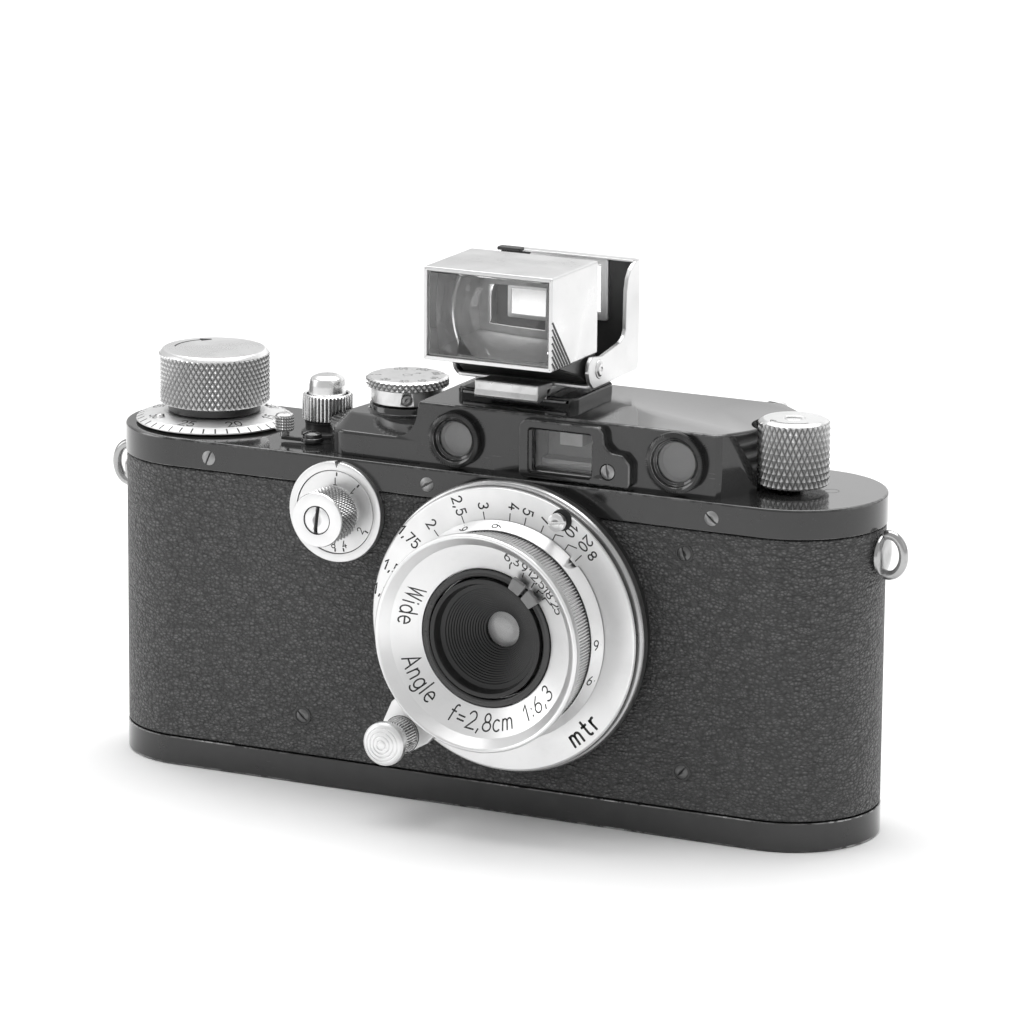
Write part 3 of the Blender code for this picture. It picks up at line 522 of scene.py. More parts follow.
def inset(outline, amount):
    """Move a counterclockwise outline inwards."""
    out = []
    count = len(outline)
    for i in range(count):
        p0, p1, p2 = (Vector(outline[(i + d) % count]) for d in (-1, 0, 1))
        d1, d2 = (p1 - p0).normalized(), (p2 - p1).normalized()
        n1, n2 = Vector((-d1.y, d1.x)), Vector((-d2.y, d2.x))
        way = (n1 + n2).normalized()
        out.append(tuple(p1 + way * (amount / max(0.35, way.dot(n1)))))
    return out


def slab(name, outline, profile, place, mat, body="camera_body", ring=False, soft=0.15, steps=3,
        node=None):
    """A plate or hollow band: an outline carried through (inset, height) profile points."""
    if signed_area(outline) < 0:
        outline = outline[::-1]
    if not ring:
        profile = [(profile[0][0] + 1.0, profile[0][1], 0)] + profile \
            + [(profile[-1][0] + 1.0, profile[-1][1], 0)]
    shape = rounded(profile, soft, ring, steps)
    if not ring:
        shape = shape[1:-1]
    points, edges, faces = [], [], []
    count = len(outline)
    for push, height, edge in shape:
        points.extend((x, y, height) for x, y in inset(outline, push))
        edges.extend([edge] * count)
    rows = len(shape)
    for k in range(rows if ring else rows - 1):
        m = (k + 1) % rows
        for j in range(count):
            n = (j + 1) % count
            faces.append((k * count + j, k * count + n, m * count + n, m * count + j))
    if not ring:
        faces.append(tuple(range(count)))
        faces.append(tuple(range((rows - 1) * count, rows * count)))
    return piece(name, points, faces, place, mat, body, values={"edge": edges}, node=node)


def stadium(radius, half=END_X, steps=40):
    return arc(radius, -90, 90, steps, half) + arc(radius, 90, 270, steps, -half)


def rectangle(x0, x1, y0, y1, corner=0.0, steps=5):
    if not corner:
        return [(x0, y0), (x1, y0), (x1, y1), (x0, y1)]
    out = []
    for cx, cy, start in ((x1 - corner, y0 + corner, -90), (x1 - corner, y1 - corner, 0),
            (x0 + corner, y1 - corner, 90), (x0 + corner, y0 + corner, 180)):
        out += arc(corner, start, start + 90, steps, cx, cy)
    return out


def cut(obj, *tools, operation="DIFFERENCE"):
    """Cut or join hidden tools and keep the result as the piece's own mesh."""
    for tool in tools:
        step = obj.modifiers.new("cut", "BOOLEAN")
        step.operation = operation
        step.solver = "EXACT"
        step.object = tool
    for shading in [m for m in obj.modifiers if m.type == "WEIGHTED_NORMAL"]:
        obj.modifiers.remove(shading)
    bpy.context.view_layer.update()
    graph = bpy.context.evaluated_depsgraph_get()
    mesh = bpy.data.meshes.new_from_object(obj.evaluated_get(graph))
    obj.modifiers.clear()
    obj.data = mesh
    mesh.shade_smooth()
    mesh.set_sharp_from_angle(angle=math.radians(30))
    weigh_normals(obj)
    for tool in tools:
        bpy.data.objects.remove(tool, do_unlink=True)
    return obj


# ---------------------------------------------------------------- engraving


def curve(cx, cy, rx, ry, start, end, steps=14):
    return [(cx + rx * math.cos(math.radians(start + (end - start) * i / steps)), cy
        + ry * math.sin(math.radians(start + (end - start) * i / steps)))
        for i in range(steps + 1)]


# Each figure or letter is its width and its pen strokes, on a height of one; @ is infinity.
GLYPHS = {
    "0": (0.62, [curve(0.31, 0.5, 0.27, 0.5, 90, 449, 22)]),
    "1": (0.50, [[(0.10, 0.72), (0.34, 1.0), (0.34, 0.0)]]),
    "2": (0.60, [curve(0.30, 0.72, 0.26, 0.28, 165, -38) + [(0.04, 0.0), (0.58, 0.0)]]),
    "3": (0.60, [curve(0.28, 0.76, 0.23, 0.24, 150, -90),
                 curve(0.28, 0.26, 0.28, 0.26, 90, -150)]),
    "4": (0.64, [[(0.40, 1.0), (0.04, 0.28), (0.62, 0.28)], [(0.44, 0.52), (0.44, 0.0)]]),
    "5": (0.60, [[(0.52, 1.0), (0.14, 1.0), (0.09, 0.56)]
                 + curve(0.28, 0.33, 0.28, 0.33, 128, -150)]),
    "6": (0.60, [curve(0.30, 0.29, 0.26, 0.29, 160, 519, 20),
                 [(0.055, 0.39), (0.16, 0.70), (0.42, 1.0)]]),
    "7": (0.58, [[(0.04, 1.0), (0.56, 1.0), (0.20, 0.0)]]),
    "8": (0.60, [curve(0.30, 0.75, 0.21, 0.25, -90, 269, 18),
                 curve(0.30, 0.26, 0.27, 0.26, 90, 449, 20)]),
    "9": (0.60, [curve(0.30, 0.71, 0.26, 0.29, -20, 339, 20),
                 [(0.545, 0.61), (0.44, 0.30), (0.18, 0.0)]]),
    ",": (0.26, [[(0.14, 0.08), (0.06, -0.16)]]),
    ":": (0.26, [[(0.12, 0.06), (0.12, 0.14)], [(0.12, 0.52), (0.12, 0.60)]]),
    "=": (0.62, [[(0.08, 0.28), (0.52, 0.28)], [(0.08, 0.52), (0.52, 0.52)]]),
    "@": (0.95, [curve(0.24, 0.5, 0.22, 0.26, 0, 359, 18),
                 curve(0.70, 0.5, 0.22, 0.26, 180, 539, 18)]),
    "f": (0.40, [curve(0.30, 0.82, 0.14, 0.18, 60, 180, 6) + [(0.16, 0.0)],
                 [(0.02, 0.60), (0.34, 0.60)]]),
    "c": (0.52, [curve(0.28, 0.32, 0.25, 0.33, 48, 312)]),
    "m": (0.84, [[(0.06, 0.0), (0.06, 0.65)],
                 curve(0.22, 0.45, 0.16, 0.20, 180, 0, 8) + [(0.38, 0.0)],
                 curve(0.55, 0.45, 0.17, 0.20, 180, 0, 8) + [(0.72, 0.0)]]),
    "t": (0.40, [[(0.16, 0.95), (0.16, 0.16)] + curve(0.30, 0.16, 0.14, 0.16, 180, 290, 6),
                 [(0.0, 0.65), (0.34, 0.65)]]),
    "r": (0.42, [[(0.06, 0.0), (0.06, 0.65)], curve(0.28, 0.38, 0.22, 0.27, 180, 70, 7)]),
    "T": (0.64, [[(0.02, 1.0), (0.58, 1.0)], [(0.30, 1.0), (0.30, 0.0)]]),
    "W": (0.92, [[(0.02, 1.0), (0.22, 0.0), (0.43, 0.95), (0.64, 0.0), (0.84, 1.0)]]),
    "A": (0.74, [[(0.02, 0.0), (0.34, 1.0), (0.66, 0.0)], [(0.13, 0.34), (0.55, 0.34)]]),
    "i": (0.22, [[(0.08, 0.0), (0.08, 0.65)], [(0.08, 0.86), (0.08, 0.92)]]),
    "d": (0.60, [curve(0.27, 0.32, 0.24, 0.33, 0, 359, 18), [(0.51, 1.0), (0.51, 0.0)]]),
    "e": (0.58, [[(0.04, 0.34), (0.52, 0.34)] + curve(0.28, 0.32, 0.24, 0.33, 5, 310)]),
    "n": (0.56, [[(0.06, 0.0), (0.06, 0.65)],
                 curve(0.26, 0.42, 0.20, 0.23, 180, 0, 8) + [(0.46, 0.0)]]),
    "g": (0.60, [curve(0.27, 0.32, 0.24, 0.33, 0, 359, 18),
                 [(0.51, 0.65), (0.51, -0.08)] + curve(0.29, -0.08, 0.22, 0.20, 0, -150, 8)]),
    "l": (0.22, [[(0.08, 0.0), (0.08, 1.0)]]),
}


def text_strokes(text, height, spacing=0.12):
    """Strokes of a line of figures in millimetres, centred on the line's middle."""
    strokes, pen = [], 0.0
    for letter in text:
        width, shapes = GLYPHS[letter]
        strokes += [[((x + pen) * height, y * height) for x, y in shape] for shape in shapes]
        pen += width + spacing
    shift = (pen - spacing) * height / 2
    return [[(x - shift, y) for x, y in stroke] for stroke in strokes]


def engrave(name, strokes, surface, width, mat, place, body="camera_body"):
    """Fill engraved lines with paint: thin strips with round ends, laid on a surface.

    surface turns a flat (u, v) into a point and its outward normal."""
    thick, proud = 0.05, 0.012
    half = width / 2
    points, faces = [], []
    for stroke in strokes:
        run = [Vector(stroke[0])]
        for spot in stroke[1:]:
            spot = Vector(spot)
            gap = (spot - run[-1]).length
            if gap < 1e-4:
                continue
            parts = max(1, int(gap / 0.6))
            for k in range(1, parts + 1):
                run.append(run[-1].lerp(spot, 1 / (parts + 1 - k)))
        left, right = [], []
        for i, spot in enumerate(run):
            before = (run[i] - run[i - 1]).normalized() if i else None
            after = (run[i + 1] - run[i]).normalized() if i + 1 < len(run) else None
            way = ((before or after) + (after or before)).normalized()
            side = Vector((-way.y, way.x))
            one = before or after
            reach = half / max(0.5, abs(side.dot(Vector((-one.y, one.x)))))
            if before is None or after is None:
                out = way if after is None else -way
                for turn in ((90, 45) if after is None else (45, 90)):
                    a = math.radians(turn)
                    left.append(spot + side * half * math.sin(a) + out * half * math.cos(a))
                    right.append(spot - side * half * math.sin(a) + out * half * math.cos(a))
            else:
                left.append(spot + side * reach)
                right.append(spot - side * reach)
        base = len(points)
        for rail in (left, right):
            for u, v in rail:
                spot, normal = surface(u, v)
                points.append(Vector(spot) + Vector(normal) * proud)
                points.append(Vector(spot) + Vector(normal) * (proud - thick))
        n = len(left)
        for i in range(n - 1):
            a, b = base + 2 * i, base + 2 * (i + 1)
            c, d = base + 2 * (n + i), base + 2 * (n + i + 1)
            faces += [(a, b, d, c), (a + 1, c + 1, d + 1, b + 1), (a, a + 1, b + 1, b),
                (c, d, d + 1, c + 1)]
        for i in (0, n - 1):
            a, c = base + 2 * i, base + 2 * (n + i)
            faces.append((a, c, c + 1, a + 1))
    return piece(name, points, faces, place, mat, body, 30.0, weighted=False)


def moved(strokes, dx=0.0, dy=0.0, degrees=0.0):
    c, s = math.cos(math.radians(degrees)), math.sin(math.radians(degrees))
    return [[(x * c - y * s + dx, x * s + y * c + dy) for x, y in stroke] for stroke in strokes]


def flat_at(height):
    """A flat surface at a height in the piece's own frame."""
    return lambda u, v: ((u, v, height), (0, 0, 1))


def cone_at(profile, about=None):
    """A surface of revolution: (u, v) are plain x, y, and height comes from the profile.

    about is a radius round which lengths are kept along the slope instead."""
    def surface(u, v):
        r = math.hypot(u, v)
        if about:
            (r0, h0), (r1, h1) = profile[0], profile[-1]
            slant = math.hypot(r1 - r0, h1 - h0)
            scale = (about + (r - about) * abs(r1 - r0) / slant) / r
            u, v, r = u * scale, v * scale, r * scale
        for (r0, h0), (r1, h1) in zip(profile, profile[1:]):
            if min(r0, r1) - 1e-9 <= r <= max(r0, r1) + 1e-9:
                break
        else:
            (r0, h0), (r1, h1) = min(zip(profile, profile[1:]),
                key=lambda s: min(abs(s[0][0] - r), abs(s[1][0] - r)))
        slope = (h1 - h0) / (r1 - r0)
        h = h0 + (r - r0) * slope
        normal = Vector((-slope * u / r, -slope * v / r, 1)).normalized()
        return (u, v, h), normal
    return surface


def on_circle(text, height, radius, degrees, facing, spacing=0.12, bend=False):
    """Strokes of figures placed at an angle round a centre.

    facing: "in" and "out" say where the tops point, "cw" that the line runs inwards."""
    strokes = text_strokes(text, height, spacing)
    out = []
    if facing in ("in", "out") and bend:
        sign = 1 if facing == "in" else -1
        for stroke in strokes:
            out.append([polar(radius - sign * (y - height / 2), degrees
                + sign * math.degrees(x / radius)) for x, y in stroke])
        return out
    turn = {"in": degrees + 90, "out": degrees - 90, "cw": degrees + 180}[facing]
    cx, cy = polar(radius, degrees)
    return moved(moved(strokes, 0, -height / 2), cx, cy, turn)


def ray(degrees, r0, r1):
    return [polar(r0, degrees), polar(r1, degrees)]


# ---------------------------------------------------------------- camera, floor and light

AZIMUTH, ELEVATION, ROLL = (math.radians(value) for value in (25.695, 13.744, 0.494))
DISTANCE = 0.910577
FOCAL_LENGTH = 198.63
FLOOR_RADIUS = 3.2
TARGET = Vector((0.0025455, 0.0, 0.0459686))
right = Vector((math.cos(AZIMUTH), math.sin(AZIMUTH), 0.0))
back = Vector((math.sin(AZIMUTH) * math.cos(ELEVATION), -math.cos(AZIMUTH) * math.cos(ELEVATION),
    math.sin(ELEVATION)))
up = back.cross(right)
rolled = (right * math.cos(ROLL) + up * math.sin(ROLL),
    up * math.cos(ROLL) - right * math.sin(ROLL))
lens_data = bpy.data.cameras.new("view")
lens_data.sensor_width = 36.0
lens_data.lens = FOCAL_LENGTH
lens_data.clip_start, lens_data.clip_end = 0.05, 20.0
camera = bpy.data.objects.new("view", lens_data)
bpy.context.scene.collection.objects.link(camera)
camera.matrix_world = Matrix.Translation(TARGET + back * DISTANCE) @ Matrix(
    (rolled[0], rolled[1], back)).transposed().to_4x4()
bpy.context.scene.camera = camera

floor_mesh = bpy.data.meshes.new("floor")
rim = [(FLOOR_RADIUS * math.cos(TAU * i / 64), FLOOR_RADIUS * math.sin(TAU * i / 64), 0.0)
    for i in range(64)]
floor_mesh.from_pydata(rim, [], [tuple(range(64))])
floor = bpy.data.objects.new("floor", floor_mesh)
bpy.context.scene.collection.objects.link(floor)
paper = Recipe("pale_paper", Specular_IOR_Level=0.2)
paper.to("Base Color", paper.blend(paper.noise(60.0, 3.0), grey(0.88), grey(0.91)))
paper.to("Roughness", paper.ramp(paper.noise(300.0, 2.0), (0.3, 0.7), (0.7, 0.9)))
floor_mesh.materials.append(paper.made)

world = bpy.data.worlds.new("studio")
bpy.context.scene.world = world
world.use_nodes = True
sky = world.node_tree.nodes["Background"]
sky.inputs["Color"].default_value = grey(1.0)
sky.inputs["Strength"].default_value = 0.62


def softbox(name, place, aim, width, height, power):
    data = bpy.data.lights.new(name, "AREA")
    data.shape = "RECTANGLE"
    data.size, data.size_y = width, height
    data.energy = power
    lamp = bpy.data.objects.new(name, data)
    bpy.context.scene.collection.objects.link(lamp)
    lamp.location = place
    lamp.rotation_euler = (Vector(aim) - Vector(place)).to_track_quat("-Z", "Y").to_euler()


softbox("top_softbox", (-0.1, 0.25, 1.15), (0.0, 0.0, 0.0), 1.3, 1.0, 15.0)
softbox("right_softbox", (1.2, -0.1, 0.6), (0.0, 0.0, 0.05), 0.9, 0.8, 0.5)
softbox("left_softbox", (-1.1, -0.5, 0.5), (0.0, 0.0, 0.05), 0.6, 0.7, 3.0)
softbox("back_softbox", (0.3, 2.0, 0.75), (0.0, 0.0, 0.05), 2.6, 1.0, 4.5)
bpy.context.scene.view_settings.view_transform = "Standard"
bpy.context.scene.view_settings.look = "None"

FRONT = facing_front(0, 0)


def lathe_tool(profile, place=at(), steps=72):
    return turned("tool", profile, place, STEEL, None, steps, soft=0)


def drill(radius, end, start, place=at(), steps=72):
    return lathe_tool([(0, end), (radius, end), (radius, start), (0, start)], place, steps)


def slab_tool(outline, low, high, place=at(), flare=0.0):
    """A cutter with straight sides, or with a mouth that flares out by an amount."""
    profile = [(0, low), (0, high)]
    if flare:
        profile = [(0, low), (0, high - 1.0 - flare), (-flare, high - 1.0), (-flare, high)]
    return slab("tool", outline, profile, place, STEEL, None, soft=0)


def hull_tool(points, width):
    build = bmesh.new()
    for point in points:
        build.verts.new(Vector(point) * MM)
    found = bmesh.ops.convex_hull(build, input=build.verts)
    spare = [v for v in found["geom_interior"] if isinstance(v, bmesh.types.BMVert)]
    bmesh.ops.delete(build, geom=spare, context="VERTS")
    bmesh.ops.dissolve_limit(build, angle_limit=0.02, verts=build.verts, edges=build.edges)
    bmesh.ops.bevel(build, geom=[e for e in build.edges if e.calc_face_angle(0) > 0.15],
        offset=width * MM, segments=3, profile=0.5, affect="EDGES")
    mesh = bpy.data.meshes.new("tool")
    build.to_mesh(mesh)
    build.free()
    return mounted("tool", mesh, PAINT, None, weighted=False)


def soft_outline(outline, radius, steps=4):
    """Round the corners of a plan outline."""
    return [spot[:2] for spot in rounded(outline, radius, True, steps)]


# ---------------------------------------------------------------- baseplate, shell and leather

base = slab("baseplate_shell", stadium(BODY_R), [(0.0, 0.0, 0.5), (0.0, BASE_TOP, 0.22),
    (0.9, BASE_TOP, 0.2), (0.9, 1.9, 0.3)], at(), PAINT_BASE, "baseplate", steps=4,
    node="baseplate")
cut(base, drill(6.15, 3, -1, at(-END_X)), drill(8.3, 1.35, -1, at(REWIND_X)),
    drill(3.2, 3, 0, at(REWIND_X)))

slab("leather_covering", stadium(14.4, steps=56), [(0.0, BASE_TOP + 0.25, 0.3),
    (0.0, SKIRT_LOW - 0.25, 0.3), (0.8, SKIRT_LOW - 0.25, 0), (0.8, BASE_TOP + 0.25, 0)], at(),
    LEATHER, ring=True, node="leather_cover")

slab("top_plate_shell", stadium(14.6), [(1.0, TOP_Z - 1.1, 0.2), (1.0, SKIRT_LOW, 0.1),
    (0.0, SKIRT_LOW, 0.14), (0.0, TOP_Z, 0.95)], at(), PAINT, steps=6, node="top_plate")

# ---------------------------------------------------------------- rangefinder housing

COVE = (52.6, 6.2)
F, B = HOUSE_FRONT, HOUSE_BACK
block = soft_outline([(-8.3, F), (43.6, F), (44.4, -11.8), (47.7, -5.4), (50.0, 0.0), (50.0, 8.0),
    (44.0, B), (-8.3, B)], 0.5)
housing = slab("rangefinder_casting", block, [(0, TOP_Z - 0.3, 0), (0, HOUSE_TOP, 0.75)], at(),
    PAINT, steps=5, node="rangefinder_housing")
LOW_EDGE = 59.3
low_plan = [(-6, F), (-21.6, F), (-22.4, -12.3), (-23.8, -11.5), (-25.6, -9.1), (-28.2, -4.6),
    (-28.2, 0.5), (-26.0, 5.5), (-22.0, 9.6), (-16.4, 11.4), (-6, 11.4)]
plateau = [(-6, -6.9), (-22.6, -6.7), (-23.9, -5.9), (-24.3, -3.4), (-23.6, 2.0), (-20.6, 6.2),
    (-16.4, 7.8), (-6, 7.8)]
low_part = hull_tool([(x, y, z) for x, y in low_plan for z in (TOP_Z - 0.3, LOW_EDGE)]
    + [(x, y, 61.1) for x, y in plateau], width=0.45)
shoulder = slab_tool([(-7.6, 65.0), (-8.25, 64.6), (-8.4, 63.2), (-8.8, 61.9), (-9.5, 60.8),
    (-10.6, 59.9), (-12.2, 59.3), (-12.6, 58.6), (-7.6, 58.6)], -11.0, -F - 0.02, FRONT)
collar = lathe_tool([(0, 62.25), (5.95, 62.25), (6.1, 62.1), (6.1, 61.5), (6.35, 61.2),
    (7.0, 60.9), (7.0, 58.0), (0, 58.0)], at(SPEED_X), 96)
cut(housing, low_part, shoulder, collar, operation="UNION")
flare_profile = [(0, 67.0), (16.5, 67.0), (16.5, 65.62), (14.8, 65.5), (13.8, 65.2), (13.1, 64.6),
    (12.5, 63.5), (11.2, 61.3), (9.6, 59.3), (8.3, 56.9), (7.8, 54.5), (0, 54.5)]
cut(housing, drill(4.9, 64, 54, at(RELEASE_X)), drill(6.7, 68, 54, at(REWIND_X)),
    lathe_tool(flare_profile, at(*COVE), 96),
    drill(3.3, 14, 11.2, facing_front(*RANGE_WINDOWS["left"])),
    drill(3.8, 14, 11.2, facing_front(*RANGE_WINDOWS["right"])),
    slab_tool(rectangle(12.0, 23.0, 56.5, 63.9), 6.0, 14.0, FRONT),
    *(drill(2.6, 16, 8.0, facing_back(x, EYE_Z)) for x in EYE_XS))

slab("finder_tunnel", rectangle(11.9, 23.1, 56.4, 64.0, 0.3),
    [(0.0, 6.2, 0), (0.0, 12.3, 0), (0.5, 12.3, 0), (0.9, 6.6, 0)], FRONT, MATT)

slab("finder_inner_panel", rectangle(12.2, 22.8, 56.6, 63.8, 0.2), [(0, 7.0, 0), (0, 7.6, 0.1)],
    FRONT, WELL)
slab("finder_inner_prism", rectangle(16.2, 20.2, 60.9, 63.7, 0.2), [(0, 7.6, 0), (0, 11.0, 0.2)],
    FRONT, LINING)
slab("finder_inner_mask", rectangle(12.8, 22.2, 57.0, 58.4, 0.2), [(0, 7.6, 0), (0, 10.4, 0.3)],
    FRONT, STEEL)

bezel_line = soft_outline([(10.4, 55.75), (29.7, 55.75), (29.7, 59.6), (28.4, 61.0), (26.4, 61.2),
    (25.3, 62.2), (25.1, 64.0), (24.3, 65.1), (11.4, 65.1), (10.4, 64.2)], 0.9, 5)
bezel = slab("viewfinder_window_frame", bezel_line, [(0, -F, 0), (0, 14.2, 0.32)], FRONT, PAINT,
    steps=4, node="viewfinder_bezel")
cut(bezel, slab_tool(rectangle(12.4, 22.8, 56.9, 63.5, 0.25), 11.0, 14.9, FRONT, 0.45),
    drill(1.35, 16, 13.6, facing_front(25.9, 58.1)))

slab("viewfinder_window", rectangle(12.35, 22.85, 56.85, 63.55, 0.2), [(0, 12.0), (0, 12.7)],
    FRONT, WINDOW, soft=0.12, node="viewfinder_front_glass")

for side, rim in (("left", 4.5), ("right", 4.9)):
    spot = facing_front(*RANGE_WINDOWS[side])
    turned(f"rangefinder_rim_{side}", [(rim - 0.05, 12.3, 0.03), (rim - 1.55, 12.3, 0.03),
        (rim - 1.55, 12.9, 0.1), (rim - 1.15, 13.15, 0.1), (rim - 1.0, 13.9, 0.1),
        (rim - 0.62, 14.15, 0.1)] + [ribs(rim + 0.05, 0.26, 13.9, 12.6)], spot, PAINT_RIM,
        steps=int(rim * 17.6) * 4, ring=True, soft=0.06, node=f"rangefinder_bezel_{side}")
    turned(f"rangefinder_window_{side}",
        [(0, 12.75), (rim - 1.7, 12.72), (rim - 1.7, 12.3), (0, 12.3)], spot, WINDOW, steps=48,
        soft=0.08, node=f"rangefinder_glass_{side}")
    turned(f"rangefinder_well_{side}", [(0, 11.3), (rim - 2.0, 11.3), (rim - 1.75, 12.28),
        (rim - 1.3, 12.28), (rim - 1.3, 11.0), (0, 11.0)], spot, WELL, steps=48, soft=0.04)


def screw(name, spot, radius, dome, angle, body, node, mat=SATIN, depth=0.5):
    """A domed slotted head with its rim rounded; the slot runs across it at an angle."""
    head = turned(name, [(0, dome, 0), (radius * 0.55, dome * 0.82, 0.4),
        (radius, dome * 0.1, 0.1), (radius, -depth, 0), (0, -depth, 0)], spot, mat, body, steps=40,
        node=node)
    turn = Matrix.Rotation(angle, 4, "Z")
    cut(head, slab("tool", rectangle(-radius * 1.3, radius * 1.3, -radius * 0.13, radius * 0.13),
        [(0, dome - radius * 0.34), (0, dome + 1)], spot @ turn, STEEL, None, soft=0))


for name, x, z, angle in (("body_screw_lower_left", -28.0, 11.5, -0.75),
        ("body_screw_lower_right", 39.5, 11.1, 0.9), ("body_screw_upper_right", 39.4, 46.6, 1.9)):
    seat = facing_front(x, z, LEATHER_FACE)
    screw(name + "_head", seat, 1.15, 0.28, angle, "camera_body", name, DULL)
    turned(name + "_cup", [(1.2, 0.12), (1.5, 0.10), (1.62, -0.1), (1.2, -0.3)], seat, DARK_METAL_AND_SHADE,
        steps=40, ring=True, soft=0.05)
for name, x, z, angle in (("skirt_screw_left", -45.1, 52.7, 1.15),
        ("skirt_screw_middle", -5.5, 52.7, 0.55), ("skirt_screw_right", 44.0, 52.8, -0.7)):
    screw(name + "_head", facing_front(x, z, SKIRT_FACE), 1.2, 0.3, angle, "camera_body", name,
        STEEL)
screw("viewfinder_screw_head", facing_front(25.9, 58.1, -14.12), 1.2, 0.22, 1.75, "camera_body",
    "viewfinder_screw", STEEL)

# The back: two eyepieces and the dioptre lever.
turned("viewfinder_eyepiece_ring", [(1.7, 12.0), (1.7, 15.0), (2.3, 15.5), (3.2, 15.3),
    (3.6, 14.8), (3.6, 13.6), (2.5, 13.6), (2.5, 12.0)], facing_back(EYE_XS[0], EYE_Z), PAINT,
    steps=64, ring=True, node="viewfinder_eyepiece")
turned("rangefinder_eyepiece_ring", [(1.7, 12.0), (1.7, 14.2), (1.95, 14.5), (2.2, 14.4),
    (2.2, 12.0)], facing_back(EYE_XS[1], EYE_Z), SATIN, steps=64, ring=True,
    node="rangefinder_eyepiece")
for x in EYE_XS:
    turned(f"eyepiece_glass_{x:.0f}", [(0, 13.3), (1.68, 13.2), (1.68, 12.6), (0, 12.6)],
        facing_back(x, EYE_Z), WINDOW, steps=40, soft=0.05)
    turned(f"eyepiece_well_{x:.0f}", [(0, 12.3), (1.65, 12.3), (1.65, 12.0), (0, 12.0)],
        facing_back(x, EYE_Z), MATT, steps=40, soft=0.05)
lever = slab("dioptre_lever_arm", soft_outline([(-p[0], p[1]) for p in arc(3.9, 75, 375, 40)
    + [(7.9, 3.9), (7.3, 5.3), (5.0, 5.5)]], 0.5, 3), [(0, 13.8, 0.1), (0, 14.9, 0.25)],
    facing_back(EYE_XS[1], EYE_Z) @ Matrix.Rotation(math.pi, 4, "Z"), SATIN, "dioptre_lever",
    node="dioptre_lever")
cut(lever, drill(2.5, 16, 13, facing_back(EYE_XS[1], EYE_Z)))

# Strap lugs: a washer and a wire loop.
for side, sign in (("left", -1), ("right", 1)):
    seat = at(sign * (BODY_HALF + 0.2), 0, LUG_Z) @ Matrix.Rotation(sign * math.pi / 2, 4, "Y")
    turned(f"lug_washer_{side}", [(0, 1.0), (1.6, 1.0), (2.4, 0.85), (3.2, 0.55), (3.3, 0.0),
        (0, 0.0)], seat, LUG, steps=64, soft=0.15)
    path = [Vector((2.5 * math.cos(a), 0, 3.25 * math.sin(a)))
        for a in (math.radians(v) for v in range(-104, 105, 8))]
    points, faces, sides = [], [], 14
    for i, spot in enumerate(path):
        along = (path[min(i + 1, len(path) - 1)] - path[max(i - 1, 0)]).normalized()
        across = Vector((0, 1, 0))
        out = along.cross(across)
        for k in range(sides):
            a = TAU * k / sides
            points.append(spot + (across * math.cos(a) + out * math.sin(a)) * 0.76)
    for i in range(len(path) - 1):
        for k in range(sides):
            n = (k + 1) % sides
            faces.append((i * sides + k, i * sides + n, (i + 1) * sides + n, (i + 1) * sides + k))
    faces += [tuple(range(sides)), tuple(range((len(path) - 1) * sides, len(path) * sides))]
    face_out = Matrix.Rotation(0 if sign > 0 else math.pi, 4, "Z")
    piece(f"lug_loop_{side}", points, faces, at(sign * (BODY_HALF + 1.45), 0, LUG_Z) @ face_out,
        LUG, "camera_body", node=f"strap_lug_{side}")

# ---------------------------------------------------------------- winding side

turned("wind_knob_grip", [(0, 67.3, 0), (8.6, 67.3, 0.2), (8.85, 66.95, 0.1)]
    + [diamonds(9.18, 0.42, 66.7, 59.1, 10)] + [(8.85, 58.85, 0.1), (8.3, 58.62, 0.1), (0, 58.6)],
    at(WIND_X), KNURL, "wind_knob", steps=120, sharp=28, node="wind_knob")
turned("wind_knob_cap", [(0, 67.6, 0), (8.45, 67.56, 0.45), (8.98, 66.92, 0.1), (8.8, 66.85, 0),
    (0, 66.85, 0)], at(WIND_X), WIND_TOP, "wind_knob", steps=160)
# A dark neck under the knob: painted shadow in the gap.
turned("wind_knob_neck_painted_shadow", [(0, 58.8), (7.6, 58.8), (7.6, 57.35), (0, 57.3)], at(WIND_X), DARK_METAL_AND_SHADE,
    "wind_knob", steps=96)
arrow = [arc(6.6, 197.5, 136, 24)]
head = [[polar(6.6, 124), polar(7.15, 137)], [polar(6.6, 124), polar(6.1, 138)],
    [polar(6.6, 124), polar(6.6, 138)]]
engrave("wind_knob_arrow", arrow, flat_at(WIND_FACE), 0.2, INK_AND_SHADE, at(WIND_X), "wind_knob")
engrave("wind_knob_arrow_head", head, flat_at(WIND_FACE), 0.42, INK_AND_SHADE, at(WIND_X), "wind_knob")

CONE = [(8.3, 57.12), (11.3, 56.62), (12.85, 56.02)]
turned("counter_dial_disc", [(3.3, 57.1), (7.6, 57.1), (8.3, 57.12, 0.2), (11.3, 56.62, 0.3),
    (12.85, 56.02, 0.08), (12.9, 55.75, 0.08), (3.3, 55.72)], at(WIND_X), DIAL_TOP, "counter_dial",
    steps=160, ring=True, node="counter_dial")
marks = [ray(FIRST_COUNT + 9 * index, 11.75 if index % 5 else 11.15, 12.78) for index in range(40)]
engrave("counter_scale", marks, cone_at(CONE), 0.24, INK_AND_SHADE, at(WIND_X), "counter_dial")
figures = []
for index in range(8):
    value = (25 - 5 * index) % 40
    figures += on_circle(str(value), 1.9, 9.95, FIRST_COUNT + 45 * index, "in", 0.16)
engrave("counter_figures", figures, cone_at(CONE), 0.22, INK_AND_SHADE, at(WIND_X), "counter_dial")
for angle, tall in ((234, 57.5), (52, 57.35)):
    x, y = polar(9.75, angle)
    turned(f"counter_pin_{angle}", [(0, tall, 0), (0.5, tall - 0.08, 0.2), (0.66, tall - 0.4, 0.2),
        (0.66, 56.6, 0), (0, 56.6, 0)], at(WIND_X + x, y), SATIN, "counter_dial", steps=32)

